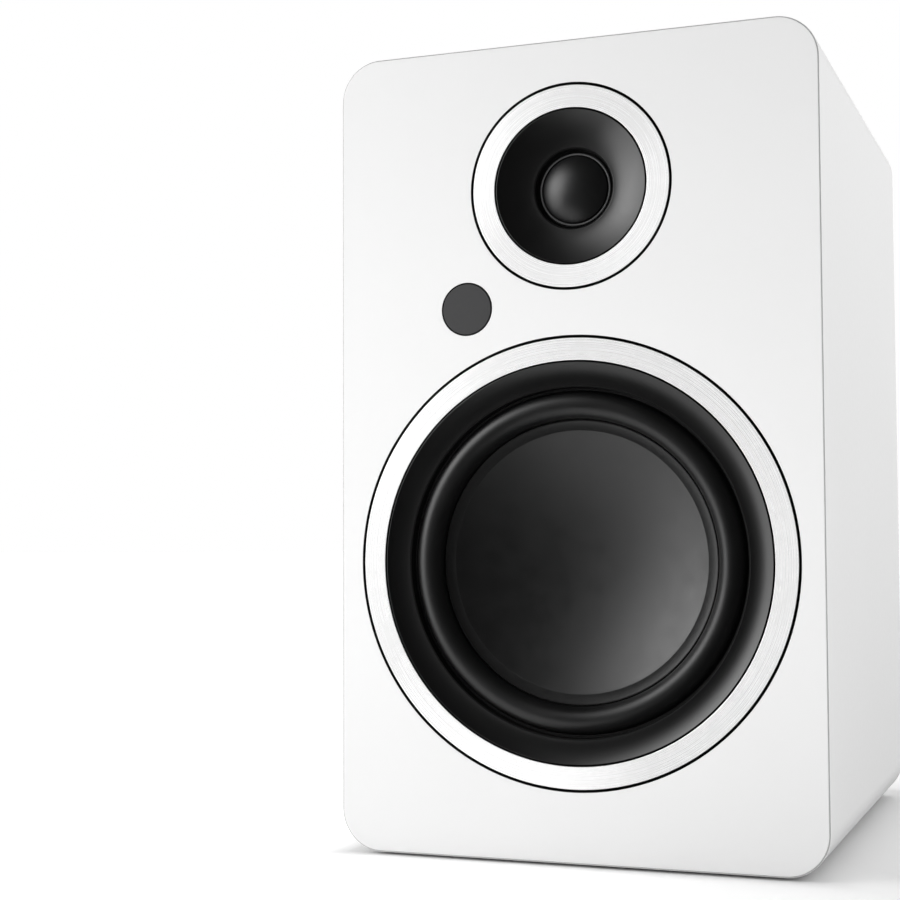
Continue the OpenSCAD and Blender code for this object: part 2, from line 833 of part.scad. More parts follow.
module amp_board() {
    face = -plate_t - board_gap;
    color(board_green) {
        at_rear([0, amp_board_z]) block(amp_board_size[0], amp_board_size[1], face - board_t, face);
        at_rear([0, heatsink_z])
            block(chip_size[0], chip_size[1], face - board_t - chip_size[2], face - board_t);
    }
}

module board_standoffs() {
    color(gold) {
        for (x = [-1, 1], z = [-1, 1]) {
            at_rear([x * (amp_board_size[0] / 2 - 4), amp_board_z + z * (amp_board_size[1] / 2 - 4)])
                rod(standoff_r, -plate_t - board_gap, -plate_t);
            at_rear([x * (power_board_size[0] / 2 - 4), power_board_z + z * (power_board_size[1] / 2 - 4)])
                rod(standoff_r, -plate_t - power_gap, -plate_t);
        }
    }
}

module heatsink() {
    base = -plate_t - board_gap - board_t - chip_size[2];
    pitch = (heatsink_size[0] - fin_t) / (heatsink_fins - 1);
    color(ferrite) at_rear([0, heatsink_z]) {
        block(heatsink_size[0], heatsink_size[1], base - heatsink_base, base);
        for (i = [0:heatsink_fins - 1])
            translate([-heatsink_size[0] / 2 + fin_t / 2 + i * pitch, 0, 0])
                block(fin_t, heatsink_size[1], base - heatsink_base - fin_h, base - heatsink_base);
    }
}

module output_chokes() {
    base = -plate_t - board_gap - board_t;
    color(ferrite) for (place = choke_places) at_rear(place)
        plate(choke_size[0], choke_size[1], 2, base - choke_size[2], base);
}

module power_board() {
    face = -plate_t - power_gap;
    color(board_green) at_rear([0, power_board_z])
        block(power_board_size[0], power_board_size[1], face - board_t, face);
}

module power_transformer() {
    base = -plate_t - power_gap - board_t;
    color([0.8, 0.7, 0.25]) at_rear([-14, power_board_z]) {
        block(30, 14, base - 24, base);
        plate(22, 26, 4, base - 20, base - 4);
    }
}

module filter_capacitors() {
    base = -plate_t - power_gap - board_t;
    color(soft_black) for (place = [[14, 0], [33, 0]])
        at_rear([place[0], power_board_z + place[1]]) rod(8, base - 26, base);
}

// ---- Sockets and controls ----------------------------------------------------------------

module mains_inlet() {
    color(soft_black) at_rear(inlet_place) {
        difference() {
            union() {
                plate(26, 16, 4, 0, inlet_flange);
                plate(inlet_body[0], inlet_body[1], 4, -inlet_body[2], 0);
            }
            plate(inlet_recess[0], inlet_recess[1], inlet_recess[1] / 2 - 0.2,
                inlet_flange - inlet_recess[2], inlet_flange + over);
        }
        for (x = [-1, 1]) translate([x * inlet_pin_pitch / 2, 0, 0]) rod(inlet_pin_r, -8.5, -0.5);
    }
}

module power_switch_housing() {
    color(soft_black) at_rear(switch_place) difference() {
        union() {
            plate(switch_bezel[0], switch_bezel[1], 2, 0, switch_bezel[2]);
            block(switch_body[0], switch_body[1], -switch_body[2], 0);
            for (y = [-5, 5]) translate([0, y, 0]) block(4.8, 0.8, -switch_body[2] - 7, -switch_body[2]);
        }
        block(switch_cavity[0], switch_cavity[1], -switch_cavity[2], switch_bezel[2] + over);
        translate([0, 0, rocker_pivot]) rotate([0, 90, 0])
            cylinder(r = rocker_pin_r + shaft_fit, h = 12.2, center = true);
    }
}

// At rest the rocker's upper end is pressed in
module power_rocker() {
    color(soft_black) at_rear(switch_place) translate([0, 0, rocker_pivot]) rotate([-rocker_tilt, 0, 0]) {
        intersection() {
            rotate([0, 90, 0]) cylinder(r = rocker_r, h = rocker_w, center = true);
            rotate([90, 0, 90]) translate([0, 0, -rocker_w / 2]) linear_extrude(rocker_w)
                polygon([[-9, -1.5], [9, -1.5], [9, 4.2], [0, 2.6], [-9, 4.2]]);
        }
        rotate([0, 90, 0]) cylinder(r = rocker_pin_r, h = 12, center = true);
    }
}

module binding_posts() {
    color(gold) for (side = [-1, 1]) at_rear([side * post_pitch / 2, post_z]) difference() {
        union() {
            rod(post_base[0], 0, post_base[1]);
            rod(post_r, -10, post_len);
            rod(5.5, -6, -plate_t);
        }
        rod(post_bore_r, post_len - post_bore_len, post_len + over);
        translate([0, 0, wire_hole_at]) rotate([90, 0, 0])
            cylinder(r = wire_hole_r, h = 3 * post_r, center = true);
    }
}

module post_washer(side) {
    at_rear([side * post_pitch / 2, post_z])
        ring(post_r + shaft_fit, washer_size[0], washer_place, washer_place + washer_size[1]);
}

// A screw cap with grip flutes, open at its end for a plug
module post_cap(side) {
    at_rear([side * post_pitch / 2, post_z]) difference() {
        rod(cap_r, cap_place, cap_place + cap_len);
        rod(post_r + shaft_fit, cap_place - over, post_len + 0.1);
        rod(post_bore_r + 0.4, 0, cap_place + cap_len + over);
        around(cap_grips, cap_r + 0.7) rod(1.2, cap_place + 2.5, cap_place + cap_len + over);
    }
}

module red_post_washer() {
    color(gold) post_washer(-1);
}

module red_post_cap() {
    color([0.75, 0.1, 0.1]) post_cap(-1);
}

module black_post_washer() {
    color(gold) post_washer(1);
}

module black_post_cap() {
    color(soft_black) post_cap(1);
}

module rca_sockets() {
    color(gold) for (place = rca_places) at_rear(place) difference() {
        union() {
            block(11, 12.4, -plate_t - board_gap, -plate_t);
            rod(5, -plate_t, 0.8);
            rod(rca_barrel_r, 0, rca_barrel_len);
        }
        rod(rca_pin_r, rca_barrel_len - 8, rca_barrel_len + over);
    }
}

module aux_socket() {
    color(soft_black) at_rear(aux_place) difference() {
        union() {
            block(9, 9, -plate_t - board_gap, -plate_t);
            rod(bushing_r, -plate_t, 1.2);
        }
        rod(aux_bore_r, 1.2 - aux_len, 1.2 + over);
    }
}

module optical_socket() {
    color(soft_black) at_rear(optical_place) {
        difference() {
            block(optical_body[0], optical_body[1], -optical_body[2], 0.6);
            block(optical_cavity[0], optical_cavity[1], -optical_cavity[2], 0.6 + over);
            translate([0, shutter_pivot[0], shutter_pivot[1]]) rotate([0, 90, 0])
                cylinder(r = shutter_pin_r + shaft_fit, h = optical_cavity[0] + 1.2, center = true);
        }
        rod(1.1, -optical_cavity[2], -optical_cavity[2] + 1.4);
    }
}

module optical_shutter() {
    drop = 7.4;                  // from the pivot to the shutter's lower edge
    color(soft_black) at_rear(optical_place) translate([0, shutter_pivot[0], shutter_pivot[1]]) {
        translate([-3.9, -drop, -shutter_t / 2]) cube([7.8, drop, shutter_t]);
        rotate([0, 90, 0]) cylinder(r = shutter_pin_r, h = optical_cavity[0] + 1, center = true);
    }
}

module volume_encoder() {
    back = -plate_t - encoder_size[2];
    color(steel) at_rear(knob_place) difference() {
        union() {
            block(encoder_size[0], encoder_size[1], back, -plate_t);
            rod(bushing_r, -plate_t, 4);
            cylinder(r = 5.6, h = 2, $fn = 6);
        }
        rod(shaft_r + shaft_fit, back + 2, 4 + over);
        rod(encoder_cavity[0], back + 0.8, back + 0.8 + encoder_cavity[1]);
    }
}

// The contact plate that the shaft pushes when the knob is pressed
module encoder_plunger() {
    back = -plate_t - encoder_size[2] + 0.8;
    color(steel) at_rear(knob_place) rod(4.3, back + 0.8, back + 1.7);
}

// The knob and the shaft that it is pressed on
module volume_knob() {
    shaft_back = -plate_t - encoder_size[2] + 2.6;
    color(soft_black) at_rear(knob_place) {
        difference() {
            rod(knob_r, knob_depths[0], knob_depths[1]);
            rod(knob_recess[0], 0, knob_depths[0] + knob_recess[1]);
            rod(shaft_r, 0, knob_depths[1] - 2);
            translate([0, knob_r - 1.4, 0]) block(1, 3, knob_depths[1] - 0.6, knob_depths[1] + over);
        }
        rod(shaft_r, shaft_back, knob_depths[1] - 2);
        rod(4.3, shaft_back, shaft_back + 0.4);
    }
}

cabinet_shell();
front_baffle();
rear_panel();
brace();
wadding();
feet();
grille_magnets();
port_tube();
woofer_trim_ring();
woofer_flare_ring();
woofer_surround();
woofer_cone();
voice_coil_former();
voice_coil_winding();
woofer_spider();
tinsel_leads();
woofer_basket();
woofer_top_plate();
woofer_magnet();
woofer_yoke();
tweeter_trim_ring();
tweeter_faceplate();
tweeter_dome();
dome_surround();
tweeter_voice_coil();
tweeter_top_plate();
tweeter_magnet();
tweeter_yoke();
tweeter_rear_chamber();
driver_gaskets();
driver_screws();
driver_terminals();
driver_wires();
sensor_window();
sensor_holder();
sensor_board();
amp_plate();
amp_plate_screws();
amp_board();
board_standoffs();
heatsink();
output_chokes();
power_board();
power_transformer();
filter_capacitors();
mains_inlet();
power_switch_housing();
power_rocker();
binding_posts();
red_post_washer();
red_post_cap();
black_post_washer();
black_post_cap();
rca_sockets();
aux_socket();
optical_socket();
optical_shutter();
volume_encoder();
encoder_plunger();
volume_knob();
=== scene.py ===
"""Looks of the powered bookshelf speaker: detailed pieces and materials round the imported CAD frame."""
import json
import math

import bmesh
import bpy
import numpy as np
from mathutils import Matrix, Vector, geometry


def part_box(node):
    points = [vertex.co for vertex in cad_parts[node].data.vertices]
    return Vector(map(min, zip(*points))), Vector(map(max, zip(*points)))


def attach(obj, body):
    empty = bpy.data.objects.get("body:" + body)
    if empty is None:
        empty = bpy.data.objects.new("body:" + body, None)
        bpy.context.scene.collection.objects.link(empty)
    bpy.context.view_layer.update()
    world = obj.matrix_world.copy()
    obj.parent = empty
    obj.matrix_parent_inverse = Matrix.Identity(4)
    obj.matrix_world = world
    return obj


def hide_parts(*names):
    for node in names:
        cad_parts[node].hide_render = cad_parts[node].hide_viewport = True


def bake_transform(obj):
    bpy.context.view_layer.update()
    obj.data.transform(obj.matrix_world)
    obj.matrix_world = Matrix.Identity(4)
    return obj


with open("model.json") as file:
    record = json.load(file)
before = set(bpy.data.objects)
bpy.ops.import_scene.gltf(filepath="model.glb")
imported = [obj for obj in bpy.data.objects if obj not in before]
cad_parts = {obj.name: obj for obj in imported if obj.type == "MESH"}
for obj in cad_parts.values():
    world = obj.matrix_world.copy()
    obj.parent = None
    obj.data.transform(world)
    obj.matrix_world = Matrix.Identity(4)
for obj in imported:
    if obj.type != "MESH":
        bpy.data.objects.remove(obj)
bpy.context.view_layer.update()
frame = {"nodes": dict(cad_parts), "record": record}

MM = 0.001
TURN = 2 * math.pi
ROOT = "speaker"

# Places taken from the frame, in metres
FRONT_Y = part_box("front_baffle")[0].y
REAR_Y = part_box("cabinet_shell")[1].y
BOTTOM_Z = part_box("cabinet_shell")[0].z


def middle(node):
    low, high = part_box(node)
    return (low + high) / 2


def face_middle(node):
    """The point of the front face that a node is centred on."""
    at = middle(node)
    return Vector((at.x, FRONT_Y, at.z))


def size(node):
    low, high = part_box(node)
    return (high - low) / MM


# ---- Camera ----

CAMERA_FROM_FRONT = Vector((0.17612, -0.57909, 0.11164))   # from the foot of the front face
CAMERA_YAW, CAMERA_PITCH, CAMERA_ROLL = 20.94, 3.06, -0.22
CAMERA_LENS = 68.96


def in_scene(name, data):
    """A new object in the scene."""
    thing = bpy.data.objects.new(name, data)
    bpy.context.scene.collection.objects.link(thing)
    return thing


def make_camera():
    data = bpy.data.cameras.new("camera")
    data.lens, data.sensor_width = CAMERA_LENS, 36.0
    data.clip_start, data.clip_end = 0.01, 50.0
    camera = in_scene("camera", data)
    place = Vector((0, FRONT_Y, BOTTOM_Z)) + CAMERA_FROM_FRONT
    turn = (
        Matrix.Rotation(math.radians(CAMERA_YAW), 4, "Z")
        @ Matrix.Rotation(math.radians(90 + CAMERA_PITCH), 4, "X")
        @ Matrix.Rotation(math.radians(CAMERA_ROLL), 4, "Z")
    )
    camera.matrix_world = Matrix.Translation(place) @ turn
    bpy.context.scene.camera = camera


make_camera()


# ---- Node materials ----

class Nodes:
    """The node tree of a material or a world, with short calls to add and link nodes."""

    def __init__(self, owner, shader="Principled BSDF"):
        owner.use_nodes = True
        self.owner, self.tree = owner, owner.node_tree
        self.shader = self.tree.nodes[shader]
        self.places = self.add("TexCoord").outputs
        self.where = self.places["Object"]

    def add(self, kind, inputs=None, **settings):
        node = self.tree.nodes.new("ShaderNode" + kind)
        for key, value in settings.items():
            setattr(node, key, value)
        for key, value in (inputs or {}).items():
            if isinstance(value, bpy.types.NodeSocket):
                self.tree.links.new(value, node.inputs[key])
            else:
                node.inputs[key].default_value = value
        return node

    def noise(self, scale, detail=3.0, rough=0.5, where=None):
        inputs = {"Vector": where or self.where, "Scale": scale, "Detail": detail, "Roughness": rough}
        return self.add("TexNoise", inputs).outputs["Fac"]

    def math(self, operation, *values):
        return self.add("Math", dict(enumerate(values)), operation=operation).outputs[0]

    def vector(self, operation, a, b=(0.0, 0.0, 0.0), result="Vector"):
        return self.add("VectorMath", {0: a, 1: b}, operation=operation).outputs[result]

    def ramp(self, value, low, high, start=0.3, end=0.7):
        """From low to high as a value goes from start to end: by default, where noise mostly lies."""
        inputs = {"Value": value, "From Min": start, "From Max": end, "To Min": low, "To Max": high}
        return self.add("MapRange", inputs).outputs["Result"]

    def tint(self, noise, dark, light):
        inputs = {"Factor": self.ramp(noise, 0.0, 1.0), "A": (*dark, 1.0), "B": (*light, 1.0)}
        return self.add("Mix", inputs, data_type="RGBA").outputs["Result"]

    def bump(self, height, strength, distance, normal=None):
        inputs = {"Height": height, "Strength": strength, "Distance": distance}
        if normal:
            inputs["Normal"] = normal
        return self.add("Bump", inputs).outputs["Normal"]

    def finish(self, **sockets):
        """Sets or links the shader's sockets and returns the material or world."""
        for key, value in sockets.items():
            socket = self.shader.inputs[key.replace("_", " ")]
            if isinstance(value, bpy.types.NodeSocket):
                self.tree.links.new(value, socket)
            else:
                socket.default_value = (*value, 1.0) if socket.type == "RGBA" else value
        return self.owner


def shade(colour, share):
    return tuple(c * share for c in colour)


def grey(level):
    return (level, level, level)


# Every material by the record's slot name, plus a few for details that share a slot
LOOKS = {}


def surface(name, colour, rough, metallic=0.0, mottle=0.06, mottle_scale=60.0, grain_scale=1200.0,
            grain=0.02, rough_spread=0.05, **sockets):
    """Moulded, painted or cast surfaces: faint mottling, uneven gloss and a fine grain."""
    n = Nodes(bpy.data.materials.new(name))
    broad = n.noise(mottle_scale, 4.0, 0.6)
    fine = n.noise(grain_scale, 2.0, 0.5)
    base = n.tint(broad, shade(colour, 1 - mottle), shade(colour, 1 + mottle))
    uneven = n.math("ADD", n.math("MULTIPLY", broad, 0.6), n.math("MULTIPLY", fine, 0.4))
    gloss = n.ramp(uneven, rough - rough_spread, rough + rough_spread)
    normal = n.bump(fine, 0.35, grain * MM)
    LOOKS[name] = n.finish(Base_Color=base, Roughness=gloss, Metallic=metallic, Normal=normal, **sockets)


def lacquer(name, colour):
    """Satin lacquer: an even coat with the slight waviness of a sprayed finish."""
    n = Nodes(bpy.data.materials.new(name))
    cloud = n.noise(9.0, 2.0, 0.5)
    peel = n.noise(420.0, 2.0, 0.45)
    dust = n.noise(3800.0, 1.0, 0.5)
    base = n.tint(cloud, shade(colour, 0.985), colour)
    gloss = n.ramp(peel, 0.40, 0.47)
    normal = n.bump(peel, 0.10, 0.03 * MM)
    normal = n.bump(dust, 0.05, 0.01 * MM, normal)
    LOOKS[name] = n.finish(Base_Color=base, Roughness=gloss, Normal=normal, IOR=1.36)


def spun_metal(name, colour, centre, metallic):
    """Metal faced on a lathe: concentric scratches round centre, which stretch its highlights."""
    n = Nodes(bpy.data.materials.new(name))
    groove = 5200.0
    offset = n.vector("SUBTRACT", n.where, (centre.x, 0.0, centre.z))
    radius = n.vector("LENGTH", n.vector("MULTIPLY", offset, (1.0, 0.0, 1.0)), result="Value")
    along = n.add("CombineXYZ", {"X": radius}).outputs[0]
    scratches = n.noise(groove, 4.0, 0.7, along)
    bands = n.noise(groove / 8, 2.0, 0.5, along)
    smudge = n.noise(45.0, 3.0, 0.6)
    base = n.tint(scratches, shade(colour, 0.96), colour)
    streak = n.math("ADD", n.math("MULTIPLY", scratches, 0.6), n.math("MULTIPLY", bands, 0.2))
    gloss = n.ramp(n.math("ADD", streak, n.math("MULTIPLY", smudge, 0.2)), 0.23, 0.31)
    normal = n.bump(scratches, 0.25, 0.01 * MM)
    tangent = n.add("Tangent", direction_type="RADIAL", axis="Y").outputs[0]
    LOOKS[name] = n.finish(Base_Color=base, Roughness=gloss, Metallic=metallic, Anisotropic=0.8,
                           Anisotropic_Rotation=0.25, Normal=normal, Tangent=tangent)


lacquer("white_lacquer", grey(0.685))
# Darker lacquer for the step at the baffle's edge: painted shadow along the seam
lacquer("painted_seam_shadow", grey(0.40))
# One spun finish for both trim rings, in two copies whose metal and colour differ to suit the light on
# each: lit and shaded copies, painted light
spun_metal("woofer_aluminium_lit_copy", grey(0.98), middle("woofer_trim_ring"), 0.40)
spun_metal("tweeter_aluminium_lit_copy", grey(0.97), middle("tweeter_trim_ring"), 0.32)
# Near-black for walls inside the shadow gaps and grooves: painted shade, standing for the shadow that
# falls there
surface("painted_gap_shadow", grey(0.003), 0.8, Specular_IOR_Level=0.15)
surface("flare_plastic", (0.0022, 0.0022, 0.0023), 0.30, grain=0.0015, rough_spread=0.01,
        Specular_IOR_Level=0.6)
surface("waveguide_plastic", (0.0030, 0.0030, 0.0031), 0.36, grain=0.004, Specular_IOR_Level=0.7)
surface("surround_rubber", (0.0035, 0.0035, 0.0036), 0.40, grain=0.04, grain_scale=1600.0, mottle=0.12)
surface("dome_rubber", grey(0.003), 0.6)
surface("cone_paper", (0.0028, 0.0028, 0.0029), 0.43, mottle=0.08, mottle_scale=160.0, grain_scale=2600.0,
        Specular_IOR_Level=0.75)
surface("rim_paper", (0.0026, 0.0026, 0.0027), 0.34, mottle=0.20, mottle_scale=900.0, grain_scale=1800.0,
        grain=0.04, Specular_IOR_Level=0.7)
surface("dome_metal", (0.0050, 0.0050, 0.0052), 0.42, mottle=0.05, grain=0.01, Specular_IOR_Level=0.6)
surface("dome_hoop", (0.060, 0.060, 0.061), 0.50)
surface("sensor_acrylic", (0.027, 0.027, 0.028), 0.60, mottle=0.03)
surface("holder_plastic", grey(0.006), 0.6)
surface("foot_rubber", grey(0.018), 0.75, grain=0.08)
surface("port_plastic", (0.022, 0.022, 0.023), 0.48, grain=0.08, grain_scale=1500.0)
surface("plate_paint", (0.018, 0.018, 0.019), 0.50, grain=0.10, grain_scale=1900.0, mottle=0.15)
surface("black_steel", (0.020, 0.020, 0.021), 0.36, 0.6, mottle=0.2)
surface("socket_plastic", (0.020, 0.020, 0.021), 0.36)
surface("rocker_plastic", grey(0.016), 0.22)
surface("gold_plate", (0.83, 0.61, 0.25), 0.24, 1.0, mottle=0.08)
surface("cap_red", (0.42, 0.012, 0.012), 0.34)
surface("cap_black", grey(0.016), 0.34)
surface("print_white", grey(0.72), 0.55)
surface("insert_white", (0.78, 0.77, 0.74), 0.40)
surface("knob_plastic", (0.020, 0.020, 0.021), 0.45, grain=0.05)
surface("encoder_metal", (0.60, 0.60, 0.61), 0.32, 1.0)
surface("chrome_pin", (0.72, 0.71, 0.69), 0.20, 1.0)
surface("raw_fibreboard", (0.36, 0.23, 0.13), 0.85, mottle=0.22, mottle_scale=300.0, grain=0.2)
surface("wadding", (0.78, 0.78, 0.74), 0.95, mottle=0.14, mottle_scale=220.0, grain_scale=500.0,
        grain=1.2, Sheen_Weight=0.4)
surface("magnet_nickel", (0.62, 0.61, 0.58), 0.22, 1.0)
surface("former", (0.42, 0.33, 0.20), 0.6, mottle=0.2)
surface("spider_cloth", (0.55, 0.38, 0.14), 0.85, mottle=0.2, mottle_scale=900.0, grain_scale=1400.0,
        grain=0.3)
surface("tinsel", (0.62, 0.42, 0.26), 0.45, 0.9, mottle=0.3, mottle_scale=2400.0)
surface("basket_steel", (0.022, 0.022, 0.023), 0.45, 0.2, grain=0.06)
surface("motor_steel", (0.48, 0.48, 0.47), 0.34, 1.0, mottle=0.12)
surface("ferrite", (0.055, 0.055, 0.058), 0.58, mottle=0.3, grain=0.12)
surface("chamber_plastic", (0.020, 0.020, 0.021), 0.5)
surface("gasket_foam", grey(0.014), 0.95, grain=0.4, grain_scale=900.0)
surface("tag_brass", (0.62, 0.50, 0.28), 0.35, 1.0, mottle=0.15)
surface("wire_cover", (0.35, 0.012, 0.012), 0.40)
surface("circuit_board", (0.012, 0.085, 0.030), 0.30, mottle=0.35, mottle_scale=420.0, Coat_Weight=0.4,
        Coat_Roughness=0.15)
surface("standoff_brass", (0.66, 0.48, 0.20), 0.30, 1.0)
surface("heatsink_black", (0.030, 0.030, 0.033), 0.42, 0.7)
surface("choke_ferrite", (0.075, 0.075, 0.078), 0.52, mottle=0.2)
surface("transformer", (0.58, 0.42, 0.05), 0.38, mottle=0.1)
surface("capacitor", (0.012, 0.018, 0.040), 0.28)
surface("copper", (0.72, 0.30, 0.14), 0.30, 1.0, mottle=0.25, mottle_scale=2600.0)


# ---- Mesh helpers ----

SMOOTH_BELOW = math.radians(32)


def make_piece(name, mesh, looks, body=ROOT, node=None, slot=None, smooth=SMOOTH_BELOW, weighted=True):
    """A mesh with the named looks, shaded smooth up to an angle. It rides on a body, and is shown in
    place of a CAD node where one is named. The slot argument is not used."""
    piece = in_scene(name, mesh)
    for look in looks:
        mesh.materials.append(LOOKS[look])
    mesh.shade_smooth()
    mesh.set_sharp_from_angle(angle=smooth)
    if weighted:
        normals = piece.modifiers.new("normals", "WEIGHTED_NORMAL")
        normals.keep_sharp = True
    if body:
        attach(piece, body)
    if node:
        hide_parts(node)
    return piece


def mesh_from(name, bm, recalc=True):
    if recalc:
        bmesh.ops.recalc_face_normals(bm, faces=bm.faces)
    mesh = bpy.data.meshes.new(name)
    bm.to_mesh(mesh)
    bm.free()
    return mesh


def rounded(points, radii, steps):
    """A closed outline with its corners rounded, by a radius for each."""
    straight = math.pi - 0.02
    result = []
    for i, (point, radius) in enumerate(zip(points, radii)):
        p = Vector(point)
        before, after = Vector(points[i - 1]) - p, Vector(points[(i + 1) % len(points)]) - p
        corner = before.angle(after)
        if radius <= 0 or corner > straight:
            result.append(tuple(p))
            continue
        reach = min(radius / math.tan(corner / 2), 0.49 * before.length, 0.49 * after.length)
        real = reach * math.tan(corner / 2)
        bisector = (before.normalized() + after.normalized()).normalized()
        centre = p + bisector * (real / math.sin(corner / 2))
        start = p + before.normalized() * reach - centre
        end = p + after.normalized() * reach - centre
        sweep = start.angle(end)
        for k in range(steps + 1):
            t = k / steps
            v = (start * math.sin((1 - t) * sweep) + end * math.sin(t * sweep)) / math.sin(sweep)
            result.append(tuple(centre + v))
    return result


def arc(centre, radius, start, end, steps):
    """Points on an arc, angles in degrees."""
    return [
        (centre[0] + radius * math.cos(math.radians(a)), centre[1] + radius * math.sin(math.radians(a)))
        for a in np.linspace(start, end, steps + 1)
    ]


def bridge(bm, a, b, slot=0):
    """Faces between two rings of as many vertices, or between a ring and a single one."""
    for k in range(max(len(a), len(b))):
        m = k + 1
        corners = [a[k % len(a)], a[m % len(a)], b[m % len(b)], b[k % len(b)]]
        bm.faces.new(list(dict.fromkeys(corners))).material_index = slot


def lathe_bm(profile, segments, slots=None):
    """A closed skin round local Z through points of (radius, height) in millimetres. Where it isn't
    round, a function of the angle gives the point."""
    bm = bmesh.new()
    turns = [TURN * k / segments for k in range(segments)]
    rings = []
    for point in profile:
        if callable(point):
            points = [point(a) for a in turns]
        else:
            points = [point] * (segments if point[0] else 1)
        rings.append([
            bm.verts.new((r * MM * math.cos(a), r * MM * math.sin(a), z * MM))
            for (r, z), a in zip(points, turns)
        ])
    for i, a in enumerate(rings):
        b = rings[(i + 1) % len(rings)]
        if len(a) > 1 or len(b) > 1:
            bridge(bm, a, b, slots[i] if slots else 0)
    return bm


def backward(centre):
    """The placement at centre whose local Z points to the back and whose local Y points up."""
    return Matrix.Translation(centre) @ Matrix(((-1, 0, 0), (0, 0, 1), (0, 1, 0))).to_4x4()


def lathe(name, centre, profile, looks, body=ROOT, segments=192, slots=None, **options):
    """A turned piece whose profile counts its height backwards from centre."""
    bm = lathe_bm(profile, segments, slots)
    bm.transform(backward(centre))
    return make_piece(name, mesh_from(name, bm), looks, body, **options)


def rounded_loop(w, h, r, x=0.0, z=0.0, steps=16):
    """A rounded rectangle as a function of how far it is inset, in millimetres."""
    def points(inset):
        radius = max(r - inset, 0.05)
        side, top = w / 2 - inset - radius, h / 2 - inset - radius
        return [
            (x + sx * side + radius * math.cos(a), z + sz * top + radius * math.sin(a))
            for sx, sz, quarter in ((1, 1, 0), (-1, 1, 1), (-1, -1, 2), (1, -1, 3))
            for a in np.linspace(quarter, quarter + 1, steps + 1) * math.pi / 2
        ]
    return points


def round_loop(r, x=0.0, z=0.0, steps=48):
    def points(inset):
        return [
            (x + (r - inset) * math.cos(a), z + (r - inset) * math.sin(a))
            for a in np.linspace(0, TURN, steps, endpoint=False)
        ]
    return points


def face_rim(depth, r, steps=4):
    """(depth, inset) for an outer edge rounded at its visible face."""
    return [
        (depth + r * (1 - math.cos(a)), r * (1 - math.sin(a)))
        for a in np.linspace(0, math.pi / 2, steps + 1)
    ]


def mouth_rim(depth, r, steps=3):
    """(depth, inset) for a hole's edge rounded at its visible face."""
    return [(d, -i) for d, i in face_rim(depth, r, steps)]


def edge_path(start, end, front_r, back_r, steps=4):
    """(depth, inset) from one face to the other, with both edges rounded."""
    back = [(end - d, i) for d, i in reversed(face_rim(0.0, back_r, steps))]
    return face_rim(start, front_r, steps) + back


def panel_bm(outer, holes, to_world):
    """A board between two faces. outer and each hole are (loop function, [(depth, inset), ...]) with
    the path running from the front face to the back one; a hole's inset is negative where it widens.
    A loop with True as its third item ends in a floor of its own. A fourth item, (first row, end
    row, material), gives part of its wall another material."""
    bm = bmesh.new()
    fronts, backs = [], []
    for loop, path, *options in [outer, *holes]:
        closed = bool(options and options[0])
        first, end, other = options[1] if len(options) > 1 else (0, 0, 0)
        rings = [
            [bm.verts.new(to_world(px, pz, depth)) for px, pz in loop(inset)]
            for depth, inset in path
        ]
        for row, (a, b) in enumerate(zip(rings, rings[1:])):
            bridge(bm, a, b, other if first <= row < end else 0)
        fronts.append(rings[0])
        if closed:
            bm.faces.new(rings[-1])
        else:
            backs.append(rings[-1])
    for rings in (fronts, backs):
        flat = [v for ring in rings for v in ring]
        for triangle in geometry.tessellate_polygon([[v.co for v in ring] for ring in rings]):
            bm.faces.new([flat[i] for i in triangle])
    return bm


def at_front(x, up, depth):
    """A point in metres from millimetres right, up from the cabinet's bottom and back from its face."""
    return Vector((x * MM, FRONT_Y + depth * MM, BOTTOM_Z + up * MM))


def at_rear(x, up, out):
    return Vector((x * MM, REAR_Y + out * MM, BOTTOM_Z + up * MM))


def panel(name, outer, holes, looks, to_world=at_front, **options):
    return make_piece(name, mesh_from(name, panel_bm(outer, holes, to_world)), looks, **options)


def joined(name, parts, looks, **options):
    """One piece from several parts, each (bmesh, placement, look's index)."""
    whole = bmesh.new()
    for part, matrix, index in parts:
        part.transform(matrix)
        for face in part.faces:
            face.material_index = index
        mesh = mesh_from("part", part)
        whole.from_mesh(mesh)
        bpy.data.meshes.remove(mesh)
    return make_piece(name, mesh_from(name, whole, False), looks, **options)


def moved(bm, x, y, z):
    """The same bmesh, shifted by millimetres."""
    bm.transform(Matrix.Translation(Vector((x, y, z)) * MM))
    return bm


def block(inner, outer, low, high):
    """The profile of a plain ring or disc."""
    return [(inner, low), (outer, low), (outer, high), (inner, high)]


def box_bm(w, d, h, bevel=0.0):
    """A block centred on the origin, in millimetres, with its edges rounded."""
    bm = bmesh.new()
    bmesh.ops.create_cube(bm, size=1.0, matrix=Matrix.Diagonal((w * MM, d * MM, h * MM, 1.0)))
    if bevel:
        bmesh.ops.bevel(bm, geom=bm.edges, offset=bevel * MM, segments=2, profile=0.5, affect="EDGES")
    return bm


def up_of(z):
    return (z - BOTTOM_Z) / MM


def outline_loop(points):
    """A loop function for any outline running counter-clockwise, inset along its corners' normals."""
    def inset_points(inset):
        result = []
        for i, point in enumerate(points):
            p = Vector(point)
            a = (p - Vector(points[i - 1])).normalized()
            b = (Vector(points[(i + 1) % len(points)]) - p).normalized()
            normal = Vector((-a.y - b.y, a.x + b.x)).normalized()
            result.append(tuple(p + normal * (inset / max(normal.dot(Vector((-a.y, a.x))), 0.3))))
        return result
    return inset_points


def carved(bm, cutter):
    """A bmesh with another one cut out of it."""
    solids = [in_scene("solid", mesh_from("solid", part)) for part in (bm, cutter)]
    cut = solids[0].modifiers.new("cut", "BOOLEAN")
    cut.object, cut.operation, cut.solver = solids[1], "DIFFERENCE", "EXACT"
    result = bmesh.new()
    result.from_object(solids[0], bpy.context.evaluated_depsgraph_get())
    for solid in solids:
        mesh = solid.data
        bpy.data.objects.remove(solid)
        bpy.data.meshes.remove(mesh)
    return result


